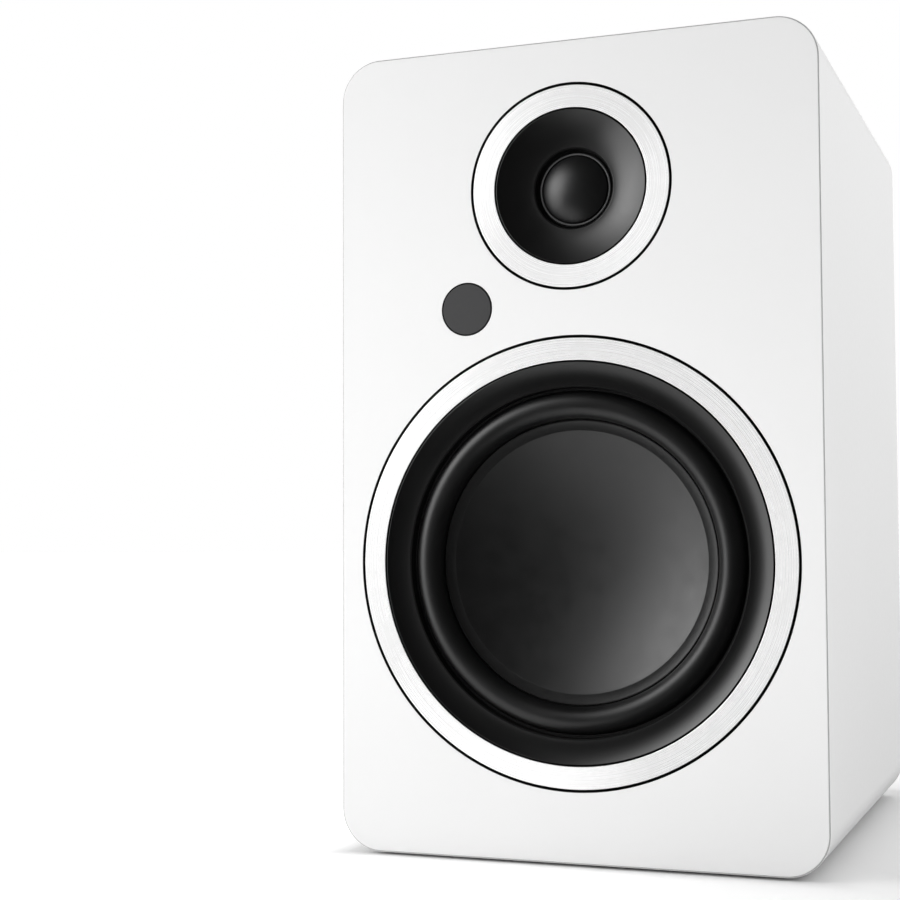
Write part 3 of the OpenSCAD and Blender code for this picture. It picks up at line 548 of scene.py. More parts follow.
def tube_bm(points, radius):
    """A round tube along a smooth curve through points given in metres."""
    sides, spline = 12, []
    for i in range(len(points) - 1):
        a, b, c, d = (Vector(points[min(max(k, 0), len(points) - 1)]) for k in (i - 1, i, i + 1, i + 2))
        for t in np.arange(0, 1, 0.125):
            spline.append((2 * b + (c - a) * t + (2 * a - 5 * b + 4 * c - d) * t * t
                           + (3 * b - a - 3 * c + d) * t * t * t) / 2)
    spline.append(Vector(points[-1]))
    bm = bmesh.new()
    rings = []
    for i, p in enumerate(spline):
        along = (spline[min(i + 1, len(spline) - 1)] - spline[max(i - 1, 0)]).normalized()
        across = along.cross(Vector((1, 0, 0))).normalized()
        third = along.cross(across)
        rings.append([
            bm.verts.new(p + radius * MM * (math.cos(a) * across + math.sin(a) * third))
            for a in np.linspace(0, TURN, sides, endpoint=False)
        ])
    for a, b in zip(rings, rings[1:]):
        bridge(bm, a, b)
    for ring in (rings[0], rings[-1]):
        bm.faces.new(ring)
    return bm


# ---- Cabinet ----

CORNER_R = 15.0
WALL = 12.0
SHADOW_LINE = 0.50               # the fine step where the baffle meets the sides
REVEAL = 1.0                     # the gap round the trim rings
SENSOR_REVEAL = 0.5
PORT_NECK_R, PORT_FLANGE_T = 27.0, 2.5


def make_cabinet():
    w, _, h = size("cabinet_shell")
    baffle = size("front_baffle").y
    depth = (REAR_Y - FRONT_Y) / MM
    outline = rounded_loop(w, h, CORNER_R, 0, h / 2, steps=24)
    step = SHADOW_LINE
    front_edge = [
        (0.0, step + 0.18), (0.05, step + 0.07), (0.18, step), (step, step), (step, 0.12),
        (step + 0.04, 0.03), (step + 0.12, 0.0), (baffle, 0.0),
    ]
    # The step's wall and floor at the outline take the darker lacquer: painted shadow along the seam
    painted_seam_rows, painted_shadow_wall = (2, 4, 2), (2, 9, 1)

    def hole(node, reveal, sides, x=0.0, ledge_at=None, through=None):
        """A round hole for a node, narrower behind a ledge where it has one."""
        radius = size(node).x / 2 + reveal
        path = [(0.0, -0.15), (0.04, -0.05), (0.15, 0.0)]
        if through:
            path += [(ledge_at, 0.0), (ledge_at, radius - through)]
        path.append((baffle, path[-1][1]))
        # Behind its lip the hole's wall takes near-black: painted shade of the gap
        return round_loop(radius, x, up_of(middle(node).z), sides), path, False, painted_shadow_wall

    holes = [
        hole("woofer_trim_ring", REVEAL, 256, ledge_at=10.2, through=67.5),
        hole("tweeter_trim_ring", REVEAL, 192, ledge_at=7.1, through=28.6),
        hole("sensor_window", SENSOR_REVEAL, 96, x=middle("sensor_window").x / MM),
    ]
    panel("baffle_board", (outline, front_edge, False, painted_seam_rows), holes,
          ["white_lacquer", "painted_gap_shadow", "painted_seam_shadow"], node="front_baffle")

    inside = rounded_loop(w - 2 * WALL, h - 2 * WALL, 3.0, 0, h / 2, steps=24)
    panel("cabinet_sleeve", (outline, edge_path(baffle, depth, 0.0, 1.2)),
          [(inside, edge_path(baffle, depth, 0.0, 0.0, 1))], ["white_lacquer"], node="cabinet_shell")


def make_rear_panel():
    _, _, h = size("cabinet_shell")
    w, thick, ph = size("rear_panel")
    port, amp = middle("port_tube"), middle("amp_plate")
    amp_w, amp_t, amp_h = size("amp_plate")
    port_r = size("port_tube").x / 2
    face, back = -thick, -0.15
    plate_gap, plate_ledge, port_ledge = 0.3, 7.3, port_r - PORT_NECK_R + 0.1
    holes = [
        (rounded_loop(amp_w + 2 * plate_gap, amp_h + 2 * plate_gap, 6.3, 0, up_of(amp.z)),
         [(face, plate_ledge), (-amp_t, plate_ledge), (-amp_t, 0.0), (back, 0.0)]),
        (round_loop(port_r + 0.1, 0, up_of(port.z), 128),
         [(face, port_ledge), (-PORT_FLANGE_T, port_ledge), (-PORT_FLANGE_T, 0.0), (back, 0.0)]),
    ]
    outer = (rounded_loop(w - 0.1, ph - 0.1, 3.0, 0, h / 2), edge_path(face, back, 0.0, 0.35, 3))
    panel("rear_board", outer, holes, ["white_lacquer"], to_world=at_rear, node="rear_panel")


def make_feet():
    low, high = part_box("feet")
    radius, pad_r, thick = 7.0, 5.0, 3.0
    outline = [(0, 0), (pad_r, 0.0), (pad_r + 0.4, 0.25), (radius, 0.25), (radius, thick), (0, thick)]
    profile = rounded(outline, [0, 0.15, 0.1, 0.35, 0.2, 0], 3)
    parts = []
    for x in (low.x + radius * MM, high.x - radius * MM):
        for y in (low.y + radius * MM, high.y - radius * MM):
            parts.append((lathe_bm(profile, 64), Matrix.Translation((x, y, low.z)), 0))
    joined("rubber_feet", parts, ["foot_rubber"], node="feet")


def make_port():
    port = middle("port_tube")
    length = size("port_tube").y
    bore, wall, mouth, flange, neck = 22.0, 2.4, 10.0, size("port_tube").x / 2, 20.0
    flare = [(bore + mouth - mouth * math.cos(a), -mouth + mouth * math.sin(a))
             for a in np.linspace(0, math.pi / 2 * 0.97, 20)]
    under = -PORT_FLANGE_T
    edge = rounded([(bore + mouth, 0.0), (flange, 0.0), (flange, under), (PORT_NECK_R, under)],
                   [0, 0.8, 0.1, 0], 4)
    profile = [(bore, -length), *flare, *edge[1:], (PORT_NECK_R, -neck), (bore + wall, -neck),
               (bore + wall, -length)]
    lathe("port_moulding", Vector((port.x, REAR_Y, port.z)), profile, ["port_plastic"], node="port_tube")


# ---- Drivers ----

def radial_blend(piece):
    """Bakes the piece's placement into its mesh and reads its vertices' coordinates."""
    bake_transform(piece)
    count = len(piece.data.vertices)
    co = np.empty(count * 3)
    piece.data.vertices.foreach_get("co", co)
    co = co.reshape(-1, 3)


def flexing_lathe(name, centre, profile, look, body, inner, outer, **options):
    """A turned piece between the moving coil assembly and the frame; it is baked into place and rides on
    no body.
    """
    piece = lathe(name, centre, profile, [look], body=None, weighted=False, **options)
    radial_blend(piece)


def trim_ring(name, node, look, inner_r, centre):
    """A trim ring with a spun face. Its walls take near-black as painted shade, because they stand in the
    shadow gaps.
    """
    outer_r, thick = size(node).x / 2, size(node).y
    profile = rounded(block(inner_r, outer_r, 0, thick), [0.2, 0.2, 0.1, 0.1], 4)
    count = len(profile)
    walls = [int(min(profile[k][1], profile[(k + 1) % count][1]) > 0.15) for k in range(count)]
    lathe(name, centre, profile, [look, "painted_gap_shadow"], segments=320, slots=walls, node=node,
          slot="spun_aluminium")
    return thick


def flare_piece(name, node, look, centre, throat, lip, power, ring_t, rest, segments):
    """A flare from throat to lip round a trim ring's inside, both (radius, depth), steepest at its lip.
    Only its face is plastic: the walls at both its ends, and the rest of its profile, take near-black as
    painted shade."""
    (throat_r, throat_at), (lip_r, lip_at) = throat, lip
    flange_r = size(node).x / 2
    start_r, end_r = throat_r + 0.5, lip_r - 0.15
    bowl = [(start_r + (end_r - start_r) * t, throat_at - (throat_at - lip_at) * t ** power)
            for t in np.linspace(0, 1, 41)]
    profile = [
        (throat_r, throat_at + 0.5), (throat_r + 0.12, throat_at + 0.17), *bowl,
        (lip_r - 0.03, lip_at + 0.04), (lip_r, lip_at + 0.2), (lip_r, ring_t), (flange_r, ring_t),
        (flange_r, rest[0][1]), *rest,
    ]
    walls = [int(k < 2 or k >= 2 + len(bowl)) for k in range(len(profile))]
    lathe(name, centre, profile, [look, "painted_gap_shadow"], segments=segments, slots=walls, node=node)


def make_woofer():
    centre = face_middle("woofer_trim_ring")
    thick = trim_ring("woofer_trim", "woofer_trim_ring", "woofer_aluminium_lit_copy", 71.0, centre)
    throat_r, face = 61.6, 7.2
    rest = [(68.1, face), (68.1, face - 0.6), (throat_r, face - 0.6)]
    flare_piece("woofer_flare", "woofer_flare_ring", "flare_plastic", centre, (throat_r, 2.5),
                (70.4, 0.4), 2.0, thick, rest, 256)

    roll_in, roll_out, rubber = 50.75, 60.4, 0.6
    mid, roll_r, base = (roll_in + roll_out) / 2, (roll_out - roll_in) / 2, 6.9
    profile = [
        (68.0, 6.62), (68.0, face), (roll_out - rubber, face),
        *arc((mid, base), roll_r - rubber, 0, -180, 40),
        (roll_in + rubber, 9.4), (48.4, 9.4), (48.4, 8.82), (roll_in, 8.82),
        *arc((mid, base), roll_r, -180, -8, 48), (roll_out + 0.35, 6.68),
    ]
    flexing_lathe("woofer_roll", centre, profile, "surround_rubber", "woofer_moving",
                  roll_in + rubber, roll_out - 0.2, segments=256, node="woofer_surround")

    rim_out, dish_r, rim, cone_t = roll_in - 0.45, 46.6, 8.0, 0.8
    crease = rim + 0.15
    sag = size("woofer_cone").y - cone_t - (crease - rim)
    sphere = (dish_r ** 2 + sag ** 2) / (2 * sag)
    middle_at = crease + sag - sphere

    def dish(thick):
        ball = sphere + thick
        reach = math.sqrt(ball ** 2 - (crease + thick - middle_at) ** 2) if thick else dish_r
        return [(r, middle_at + math.sqrt(ball ** 2 - r * r)) for r in np.linspace(0, reach, 40)]

    def rim_point(r):
        """The rim slopes back to the crease, more steeply at its outer edge."""
        return r, crease - 0.12 * (r - dish_r) - 0.028 * (r - dish_r) ** 2

    band = [rim_point(r) for r in np.linspace(dish_r + 0.12, rim_out - 0.3, 12)]
    edge = band[-1][1]
    bead = [(rim_out - 0.12, edge), (rim_out - 0.03, edge + 0.08), (rim_out, edge + 0.25)]
    profile = [*dish(0)[:-1], (dish_r - 0.12, crease + 0.03), *band, *bead, (rim_out, rim + cone_t),
               *reversed(dish(cone_t))]
    slots = [1 if dish_r < r < rim_out - 0.1 and h < crease + 0.1 else 0 for r, h in profile]
    lathe("woofer_dish", centre, profile, ["cone_paper", "rim_paper"], "woofer_moving", segments=256,
          slots=slots, node="woofer_cone")


def make_tweeter():
    centre = face_middle("tweeter_trim_ring")
    thick = trim_ring("tweeter_trim", "tweeter_trim_ring", "tweeter_aluminium_lit_copy", 28.1, centre)
    throat_r = 14.3
    rest = [(28.0, 6.1), (28.0, 9.8), (19.0, 9.8), (19.0, 8.3), (throat_r, 8.3)]
    flare_piece("tweeter_waveguide", "tweeter_faceplate", "waveguide_plastic", centre, (throat_r, 5.1),
                (27.5, 0.4), 1.5, thick, rest, 224)

    dome_r, rise, edge_at, skin = 12.5, 5.0, 7.9, 0.3
    sphere = (dome_r ** 2 + rise ** 2) / (2 * rise)
    middle_at = edge_at - rise + sphere
    outside, inside = (
        [(r, middle_at - math.sqrt(ball ** 2 - r * r)) for r in np.linspace(0, reach, count)]
        for ball, reach, count in ((sphere, dome_r - 0.7, 32), (sphere - skin, dome_r - 1.3, 24))
    )
    groove = [(dome_r - 0.55, edge_at), (dome_r - 0.15, edge_at)]
    hoop = arc((dome_r + 0.25, edge_at - 0.25), 0.35, -160, -20, 8)
    profile = [*outside, *groove, *hoop, (dome_r + 0.6, 8.3), (dome_r - 1.0, 8.3), *reversed(inside)]
    # The groove between the dome and its hoop takes near-black: painted shade in the groove
    slots = [0] * len(profile)
    start = len(outside)
    slots[start - 1:start + 2] = [1, 1, 1]
    slots[start + 2:start + 1 + len(hoop)] = [2] * (len(hoop) - 1)
    lathe("tweeter_cap", centre, profile, ["dome_metal", "painted_gap_shadow", "dome_hoop"], "tweeter_moving",
          segments=160, slots=slots, node="tweeter_dome")

    roll_in, roll_out, base, rubber = dome_r + 0.6, 15.6, 8.3, 0.28
    mid, roll_r = (roll_in + roll_out) / 2, (roll_out - roll_in) / 2
    profile = [
        *arc((mid, base), roll_r - rubber, 180, 0, 16), (18.6, base), (18.6, base + 0.3),
        (roll_out, base + 0.3), *arc((mid, base), roll_r, 12, 180, 16),
    ]
    flexing_lathe("dome_roll", centre, profile, "dome_rubber", "tweeter_moving", roll_in + 0.2,
                  roll_out - 0.2, segments=160, node="dome_surround")


def make_sensor():
    node = "sensor_window"
    width, thick, _ = size(node)
    profile = rounded(block(0, width / 2, 0, thick), [0, 0.22, 0.1, 0], 4)
    lathe("sensor_lens", face_middle(node), profile, ["sensor_acrylic"], segments=128, node=node)


# ---- Rear: plate, sockets and controls ----

PLATE_T = 3.0
SCREW_HEAD_R = 3.1
BODY_END = 14.0                  # how far the sockets' bodies reach behind the plate's face


def place_of(node):
    """The middle of a node as (x, up) in millimetres."""
    at = middle(node)
    return at.x / MM, up_of(at.z)


def outward(x, up, out=0.0):
    """The placement whose local Z points out of the rear face."""
    return backward(at_rear(x, up, out))


def local_panel(outer, holes):
    """A panel built flat round local Z, its visible face outwards; depths count inwards."""
    return panel_bm(outer, holes, lambda x, y, depth: Vector((x * MM, y * MM, -depth * MM)))


def recessed_shell(outer, proud, rim_r, walls, inner, mouth_r, floor):
    """A moulded housing that stands proud of the plate, with a blind recess."""
    return local_panel((outer, [*face_rim(-proud, rim_r), *walls]),
                       [(inner, [*mouth_rim(-proud, mouth_r), (floor, 0.0)], True)])


def plate_screw_places():
    low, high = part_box("amp_plate_screws")
    left, right = low.x / MM + SCREW_HEAD_R, high.x / MM - SCREW_HEAD_R
    bottom, top = up_of(low.z) + SCREW_HEAD_R, up_of(high.z) - SCREW_HEAD_R
    centre = (bottom + top) / 2
    reach = (top - bottom) / 2 - 4.0
    beside = [(x, centre + k * reach) for x in (left, right) for k in (-1, 0, 1)]
    return [*beside, (0.0, bottom), (0.0, top)]


def rca_places():
    low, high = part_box("rca_sockets")
    half, up = 5.5, (up_of(low.z) + up_of(high.z)) / 2
    right = high.x / MM - half
    return [(right, up), (right - 16.0, up), (low.x / MM + half, up)]


def post_places():
    low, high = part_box("binding_posts")
    collar = 7.5
    up = up_of((low.z + high.z) / 2)
    return [(low.x / MM + collar, up), (high.x / MM - collar, up)]


def make_amp_plate():
    w, t, h = size("amp_plate")
    rim = [*face_rim(0.0, 0.6), (t, 0.0)]
    through, square = [*mouth_rim(0.0, 0.2), (t, 0.0)], [(0.0, 0.0), (t, 0.0)]
    bushings = [place_of("volume_encoder"), place_of("aux_socket")]
    drilled = ((bushings, 3.5, 48), (rca_places(), 5.0, 64), (post_places(), 3.5, 48),
               (plate_screw_places(), 1.5, 32))
    holes = [
        (round_loop(radius, *place, sides), through)
        for places, radius, sides in drilled for place in places
    ]
    for node, hole_w, hole_h, r, steps in (
        ("optical_socket", 11.1, 11.1, 0.3, 3),
        ("power_switch_housing", 12.9, 19.1, 0.3, 3),
        ("mains_inlet", 21.0, 13.4, 4.0, 8),
    ):
        holes.append((rounded_loop(hole_w, hole_h, r, *place_of(node), steps), square))
    outer = (rounded_loop(w, h, 6.0, *place_of("amp_plate")), rim)
    panel("amplifier_plate", outer, holes, ["plate_paint"], node="amp_plate",
          to_world=lambda x, up, depth: at_rear(x, up, -depth))


def screw_bm():
    """A pan-head cross-recess screw standing on local Z = 0."""
    head_r, head_h, shank_r, length = SCREW_HEAD_R, 2.0, 1.5, 9.0
    slot_width, slot_reach, slot_depth = 0.7, 1.75, 1.0
    crown = rounded([(shank_r, 0.0), (head_r, 0.0), (head_r, head_h * 0.55), (head_r * 0.62, head_h),
                     (0.0, head_h)], [0, 0.15, 0.5, 0.7, 0], 4)
    shank = [(0.0, -length), (shank_r * 0.5, -length), (shank_r, -length + 1.0)]
    bm = lathe_bm([*shank, *crown], 48)
    for turn in (0, math.pi / 2):
        cutter = bmesh.new()
        taper = 0.55
        bottom, top = head_h - slot_depth, head_h + 1.0
        corners = [
            (sx * slot_reach * k, sy * slot_width / 2 * k, z)
            for z, k in ((bottom, taper), (top, 1.25)) for sx, sy in ((-1, -1), (1, -1), (1, 1), (-1, 1))
        ]
        verts = [cutter.verts.new(Vector(c) * MM) for c in corners]
        for face in ((0, 1, 2, 3), (4, 5, 6, 7), (0, 1, 5, 4), (1, 2, 6, 5), (2, 3, 7, 6), (3, 0, 4, 7)):
            cutter.faces.new([verts[i] for i in face])
        cutter.transform(Matrix.Rotation(turn, 4, "Z"))
        bm = carved(bm, cutter)
    return bm


def make_plate_screws():
    one = screw_bm()
    parts = [
        (one.copy(), outward(*place) @ Matrix.Rotation(0.7 * i, 4, "Z"), 0)
        for i, place in enumerate(plate_screw_places())
    ]
    one.free()
    joined("plate_screws", parts, ["black_steel"], node="amp_plate_screws")


def make_rca():
    """Gilt shells round white, red and black inserts, on moulded bodies behind the plate."""
    length, shell_r, bore, flange_r, flange_h, pin_r, pin_wall = 9.0, 4.15, 3.3, 5.0, 0.8, 1.65, 0.28
    back, tail, slack = -8.0, BODY_END, 0.02
    outline = [
        (bore, back), (bore, length), (shell_r, length), (shell_r, flange_h), (flange_r, flange_h),
        (flange_r, -PLATE_T), (bore + 0.1, -PLATE_T), (bore + 0.1, back),
    ]
    shell = rounded(outline, [0, 0.3, 0.35, 0.1, 0.25, 0, 0, 0], 4)
    insert = [(pin_r + 0.3, back + 0.2), (pin_r + 0.3, length - 0.7), (pin_r + 0.45, length - 0.4),
              (bore - 0.15, length - 0.4), (bore - slack, length - 0.6), (bore - slack, back + 0.2)]
    contact = [(pin_r, 1.0), (pin_r, length - 1.0), (pin_r + pin_wall, length - 1.0),
               (pin_r + pin_wall, back + 0.4), (0.0, back + 0.4), (0.0, 1.0)]
    body_walls = [*face_rim(PLATE_T, 0.3), (tail - 0.5, 0.0), (tail, 0.4)]
    parts = []
    for i, place in enumerate(rca_places()):
        body = local_panel((rounded_loop(11, 12.4, 0.6, steps=3), body_walls),
                           [(round_loop(bore + 0.15), [(PLATE_T, 0.0), (tail, 0.0)])])
        spot = outward(*place)
        parts += [(lathe_bm(shell, 96), spot, 0), (lathe_bm(contact, 48), spot, 0), (body, spot, 1),
                  (lathe_bm(insert, 64), spot, 2 + i)]
    looks = ["gold_plate", "socket_plastic", "insert_white", "cap_red", "cap_black"]
    joined("phono_sockets", parts, looks, node="rca_sockets")


def make_aux():
    """A 3.5 mm jack: a moulded bushing lined with metal, and its body behind the plate."""
    bore, lined_r, bushing_r, proud, back = 1.8, 2.15, 3.5, 1.2, -8.0
    collar = rounded([(lined_r, back), (lined_r, proud), (bushing_r, proud),
                      (bushing_r, -PLATE_T - 0.5), (bore + 0.6, back)], [0, 0.2, 0.3, 0, 0], 4)
    end = 1.0 - BODY_END
    lining = [(bore, end), (bore, proud - 0.25), (lined_r - 0.02, proud - 0.1), (lined_r - 0.02, end)]
    wall = [(PLATE_T, 0.0), (BODY_END, 0.0)]
    body = local_panel((rounded_loop(9, 9, 0.5, steps=3), wall), [(round_loop(lined_r), wall)])
    spot = outward(*place_of("aux_socket"))
    parts = [(lathe_bm(collar, 64), spot, 0), (body, spot, 0), (lathe_bm(lining, 48), spot, 1)]
    joined("aux_jack", parts, ["socket_plastic", "encoder_metal"], node="aux_socket")


def make_optical():
    """The square port, its lens at the bottom, and the sprung leaf that closes it."""
    x, up = place_of("optical_socket")
    spot = outward(x, up)
    proud, floor = 0.6, 9.6
    body = recessed_shell(rounded_loop(11, 11, 0.5, steps=4), proud, 0.25, [(12.0, 0.0)],
                          rounded_loop(8.4, 8.4, 0.35, steps=3), 0.3, floor)
    lens = lathe_bm(rounded(block(0, 1.1, -floor - 0.1, 1.4 - floor), [0, 0, 0.2, 0], 3), 32)
    joined("optical_port_body", [(body, spot, 0), (lens, spot, 1)], ["socket_plastic", "sensor_acrylic"],
           node="optical_socket")
    pivot_up, pivot_out, drop, thick, width = 3.6, -0.9, 7.4, 1.0, 7.8
    flap = moved(box_bm(width, drop, thick, 0.18), 0, -drop / 2, 0)
    rib = moved(box_bm(width * 0.55, 0.6, 0.3, 0.1), 0, -drop * 0.72, thick / 2 + 0.1)
    pin = lathe_bm([(0, -4.7), (0.45, -4.7), (0.5, -4.6), (0.5, 4.6), (0.45, 4.7), (0, 4.7)], 24)
    pin.transform(Matrix.Rotation(math.pi / 2, 4, "Y"))
    hinge = outward(x, up + pivot_up, pivot_out)
    joined("optical_flap_leaf", [(part, hinge, 0) for part in (flap, rib, pin)], ["rocker_plastic"],
           node="optical_shutter", body="shutter")


def make_inlet():
    """The two-pole mains inlet with its rounded recess."""
    spot = outward(*place_of("mains_inlet"))
    proud, recess, lip, pin_r, pin_at = 1.6, 8.4, 2.5, 1.2, 4.3
    shell = recessed_shell(
        rounded_loop(26, 16, 4.0, steps=12), proud, 0.5, [(0.0, 0.0), (0.0, lip), (BODY_END, lip)],
        rounded_loop(16.6, 9.6, 4.6, steps=16), 0.4, recess,
    )
    parts = [(shell, spot, 0)]
    for x in (-pin_at, pin_at):
        pin = lathe_bm(rounded(block(0, pin_r, -recess - 0.1, -0.5), [0, 0, 0.7, 0], 6), 32)
        parts.append((moved(pin, x, 0, 0), spot, 1))
    joined("mains_socket_body", parts, ["socket_plastic", "chrome_pin"], node="mains_inlet")


def make_switch():
    """The bezel with its two blades, and the rocker whose bowed face has a bar and a ring on it."""
    x, up = place_of("power_switch_housing")
    spot = outward(x, up)
    proud, well, lip = 1.8, 4.2, 1.1
    shell = recessed_shell(
        rounded_loop(15, 21, 2.0, steps=8), proud, 0.6, [(0.0, 0.0), (0.0, lip), (12.0, lip)],
        rounded_loop(10.2, 16.6, 0.4, steps=3), 0.35, well,
    )
    blades = [(moved(box_bm(4.8, 0.8, 7.0, 0.1), 0, side, -15.5), spot, 1) for side in (-5, 5)]
    joined("switch_bezel", [(shell, spot, 0), *blades], ["socket_plastic", "tag_brass"],
           node="power_switch_housing")

    tilt, pivot, radius, width, below = math.radians(10), 0.2, 8.0, 9.6, 1.5
    lowest, bow, power = 2.6, 1.6, 1.35
    end = math.sqrt(radius ** 2 - (lowest + bow) ** 2)
    foot = math.sqrt(radius ** 2 - below ** 2)

    def rise(u):
        return lowest + bow * (abs(u) / end) ** power

    top = [(u, rise(u)) for u in np.linspace(end, -end, 17)]
    side_u, side_out = radius * math.cos(0.24), radius * math.sin(0.24)
    outline = rounded([(-foot, -below), (foot, -below), (side_u, side_out), *top, (-side_u, side_out)],
                      [0.3, 0.3, 0, 0.35, *[0] * 15, 0.35, 0], 3)
    cushion = panel_bm((outline_loop(outline), edge_path(-width / 2, width / 2, 0.35, 0.35, 3)), [],
                       lambda a, b, depth: Vector((depth * MM, a * MM, b * MM)))
    pin = lathe_bm(block(0, 1.0, -5.95, 5.95), 32)
    pin.transform(Matrix.Rotation(math.pi / 2, 4, "Y"))
    tilted = outward(x, up, pivot) @ Matrix.Rotation(-tilt, 4, "X")
    joined("rocker_cushion", [(cushion, tilted, 0), (pin, tilted, 0)], ["rocker_plastic"],
           node="power_rocker", body="rocker")
    film, mark_at = 0.08, 4.7
    bar, ring = box_bm(0.55, 2.6, film), lathe_bm(block(1.0, 1.5, 0.0, film), 48)
    marks = []
    for mark, u in ((bar, mark_at), (ring, -mark_at)):
        slope = math.copysign(bow * power * (abs(u) / end) ** (power - 1) / end, u)
        place = Matrix.Translation((0, u * MM, (rise(u) + 0.01) * MM))
        marks.append((mark, tilted @ place @ Matrix.Rotation(math.atan(slope), 4, "X"), 0))
    joined("rocker_marks", marks, ["print_white"], body="rocker", slot="rocker_plastic")


def cap_bm():
    """A fluted screw cap with a smooth skirt, open at its end."""
    start, end, cap_r = 4.5, 16.0, 6.6
    flutes, flute_r, flute_at = 12, 1.2, cap_r + 0.7

    def outer(height, shrink, fluted):
        def ring(a):
            off = (a + math.pi / flutes) % (TURN / flutes) - math.pi / flutes
            across = flute_at * math.sin(off)
            bite = math.sqrt(max(flute_r ** 2 - across ** 2, 0.0))
            cut = flute_at * math.cos(off) - bite if bite else cap_r
            return cap_r - max(cap_r - cut, 0.0) * fluted - shrink, height
        return ring

    skirt_r, mouth_r, floor = 3.55, 2.45, 15.3
    profile = [
        (skirt_r, start), outer(start, 0.35, 0), outer(start + 0.1, 0.1, 0),
        outer(start + 0.35, 0, 0), outer(6.9, 0, 0), outer(7.0, 0.05, 0.3),
        *(outer(height, 0, 1) for height in (7.25, 9.5, 12.0, 14.9)),
        outer(15.45, 0.12, 1), outer(15.8, 0.4, 0.8), outer(end, 0.9, 0.5),
        (mouth_r + 0.4, end), (mouth_r + 0.05, end - 0.15), (mouth_r, end - 0.45), (mouth_r, floor),
        (skirt_r, floor),
    ]
    return lathe_bm(profile, 288)


def make_posts():
    end, bore, post_r = 15.2, 2.05, 3.5
    thread = [(post_r - (0.02 if k % 2 else 0.28), 3.2 + k * 0.5) for k in range(22)]
    profile = [
        (bore, end - 15.0), (bore, end - 0.3), (bore + 0.3, end), (post_r - 0.5, end),
        (post_r - 0.1, end - 0.4), *reversed(thread), (post_r, 3.0), (post_r, -6.0),
        (post_r - 0.3, -10.0), (0.0, -10.0), (0.0, end - 15.0),
    ]
    hole = lathe_bm(block(0, 0.8, -6, 6), 24)
    hole.transform(Matrix.Translation((0, 0, 4.6 * MM)) @ Matrix.Rotation(math.pi / 2, 4, "X"))
    post = carved(lathe_bm(profile, 64), hole)
    collar = rounded(block(post_r, 7.5, 0.0, 3.0), [0, 0.1, 0.6, 0], 5)
    nut = lathe_bm(block(post_r, 5.5, -6.0, -PLATE_T), 6)
    parts = []
    for i, (x, up) in enumerate(post_places()):
        spot = outward(x, up)
        parts += [(post.copy(), spot, 0), (lathe_bm(collar, 96), spot, 1 + i), (nut.copy(), spot, 0)]
    post.free()
    nut.free()
    joined("terminal_posts", parts, ["gold_plate", "cap_red", "cap_black"], node="binding_posts")
    washer = rounded(block(post_r + 0.05, 5.6, 3.2, 4.4), [0.1, 0.25, 0.25, 0.1], 3)
    for colour, place in zip(("red", "black"), post_places()):
        spot = outward(*place)
        joined(f"{colour}_clamp_washer", [(lathe_bm(washer, 64), spot, 0)], ["gold_plate"],
               node=f"{colour}_post_washer", body=f"{colour}_clamp")
        joined(f"{colour}_screw_cap", [(cap_bm(), spot, 0)], [f"cap_{colour}"],
               node=f"{colour}_post_cap", body=f"{colour}_cap")


def make_knob():
    knob_r, start, end, ridges, depth = 10.0, 2.4, 14.0, 64, 0.28
    recess_r, recess_top, shaft_r = 7.2, 5.2, 3.0

    def side(height, shrink, knurl):
        def ring(a):
            return knob_r - shrink - depth * knurl * (0.5 - 0.5 * math.cos(ridges * a)), height
        return ring

    profile = [
        (recess_r, recess_top), (recess_r, start), side(start, 0.5, 0),
        side(start + 0.12, 0.2, 0), side(start + 0.5, 0.02, 0), side(start + 1.6, 0.02, 0),
        side(start + 1.9, 0.0, 1), side(end - 1.6, 0.0, 1), side(end - 1.3, 0.05, 0),
        side(end - 0.75, 0.05, 0), side(end - 0.35, 0.2, 0), side(end - 0.1, 0.5, 0),
        side(end, 0.9, 0), (8.4, end), (8.1, end - 0.12), (5.0, end - 0.28), (0.4, end - 0.32),
        (0.02, end - 0.32), (0.02, recess_top),
    ]
    x, up = place_of("volume_knob")
    spot = outward(x, up)
    shaft = lathe_bm([(0, -7.4), (4.3, -7.4), (4.3, -7.0), (shaft_r, -7.0), (shaft_r, recess_top + 0.1),
                      (0, recess_top + 0.1)], 48)
    joined("volume_dial", [(lathe_bm(profile, 384), spot, 0), (shaft, spot, 1)],
           ["knob_plastic", "encoder_metal"], node="volume_knob", body="knob", smooth=0.5)
    pointer = moved(box_bm(0.8, 2.6, 0.3, 0.1), 0, 6.6, end - 0.3)
    joined("volume_pointer", [(pointer, spot, 0)], ["print_white"], body="knob", slot="knob_plastic")


def make_plate_marks():
    """Printed ticks round the knob, and rules under the groups of sockets: no lettering."""
    parts = []
    film, radius, sweep, steps = 0.04, 12.6, 270, 10

    def stroke(x, up, w, h, turn=0.0):
        bar = box_bm(w, h, film)
        parts.append((bar, outward(x, up, film / 2) @ Matrix.Rotation(turn, 4, "Z"), 0))

    x, up = place_of("volume_knob")
    for k in range(steps + 1):
        a = math.radians(90 + sweep / 2 - sweep * k / steps)
        stroke(x - radius * math.cos(a), up + radius * math.sin(a), 0.45, 1.8 if k % 5 else 2.6,
               a - math.pi / 2)
    posts = post_places()
    for (px, pz), sign in zip(posts, (-1, 1)):
        mark_x = px + sign * 12.0
        stroke(mark_x, pz, 3.0, 0.55)
        if sign < 0:
            stroke(mark_x, pz, 0.55, 3.0)
    sockets = rca_places()
    rule_up = sockets[0][1] - 8.5
    stroke((sockets[0][0] + sockets[1][0]) / 2, rule_up, 24.0, 0.35)
    stroke(sockets[2][0], rule_up, 9.0, 0.35)
    stroke((posts[0][0] + posts[1][0]) / 2, posts[0][1] - 10.5, 34.0, 0.35)
    joined("plate_marks", parts, ["print_white"], slot="plate_paint", weighted=False)


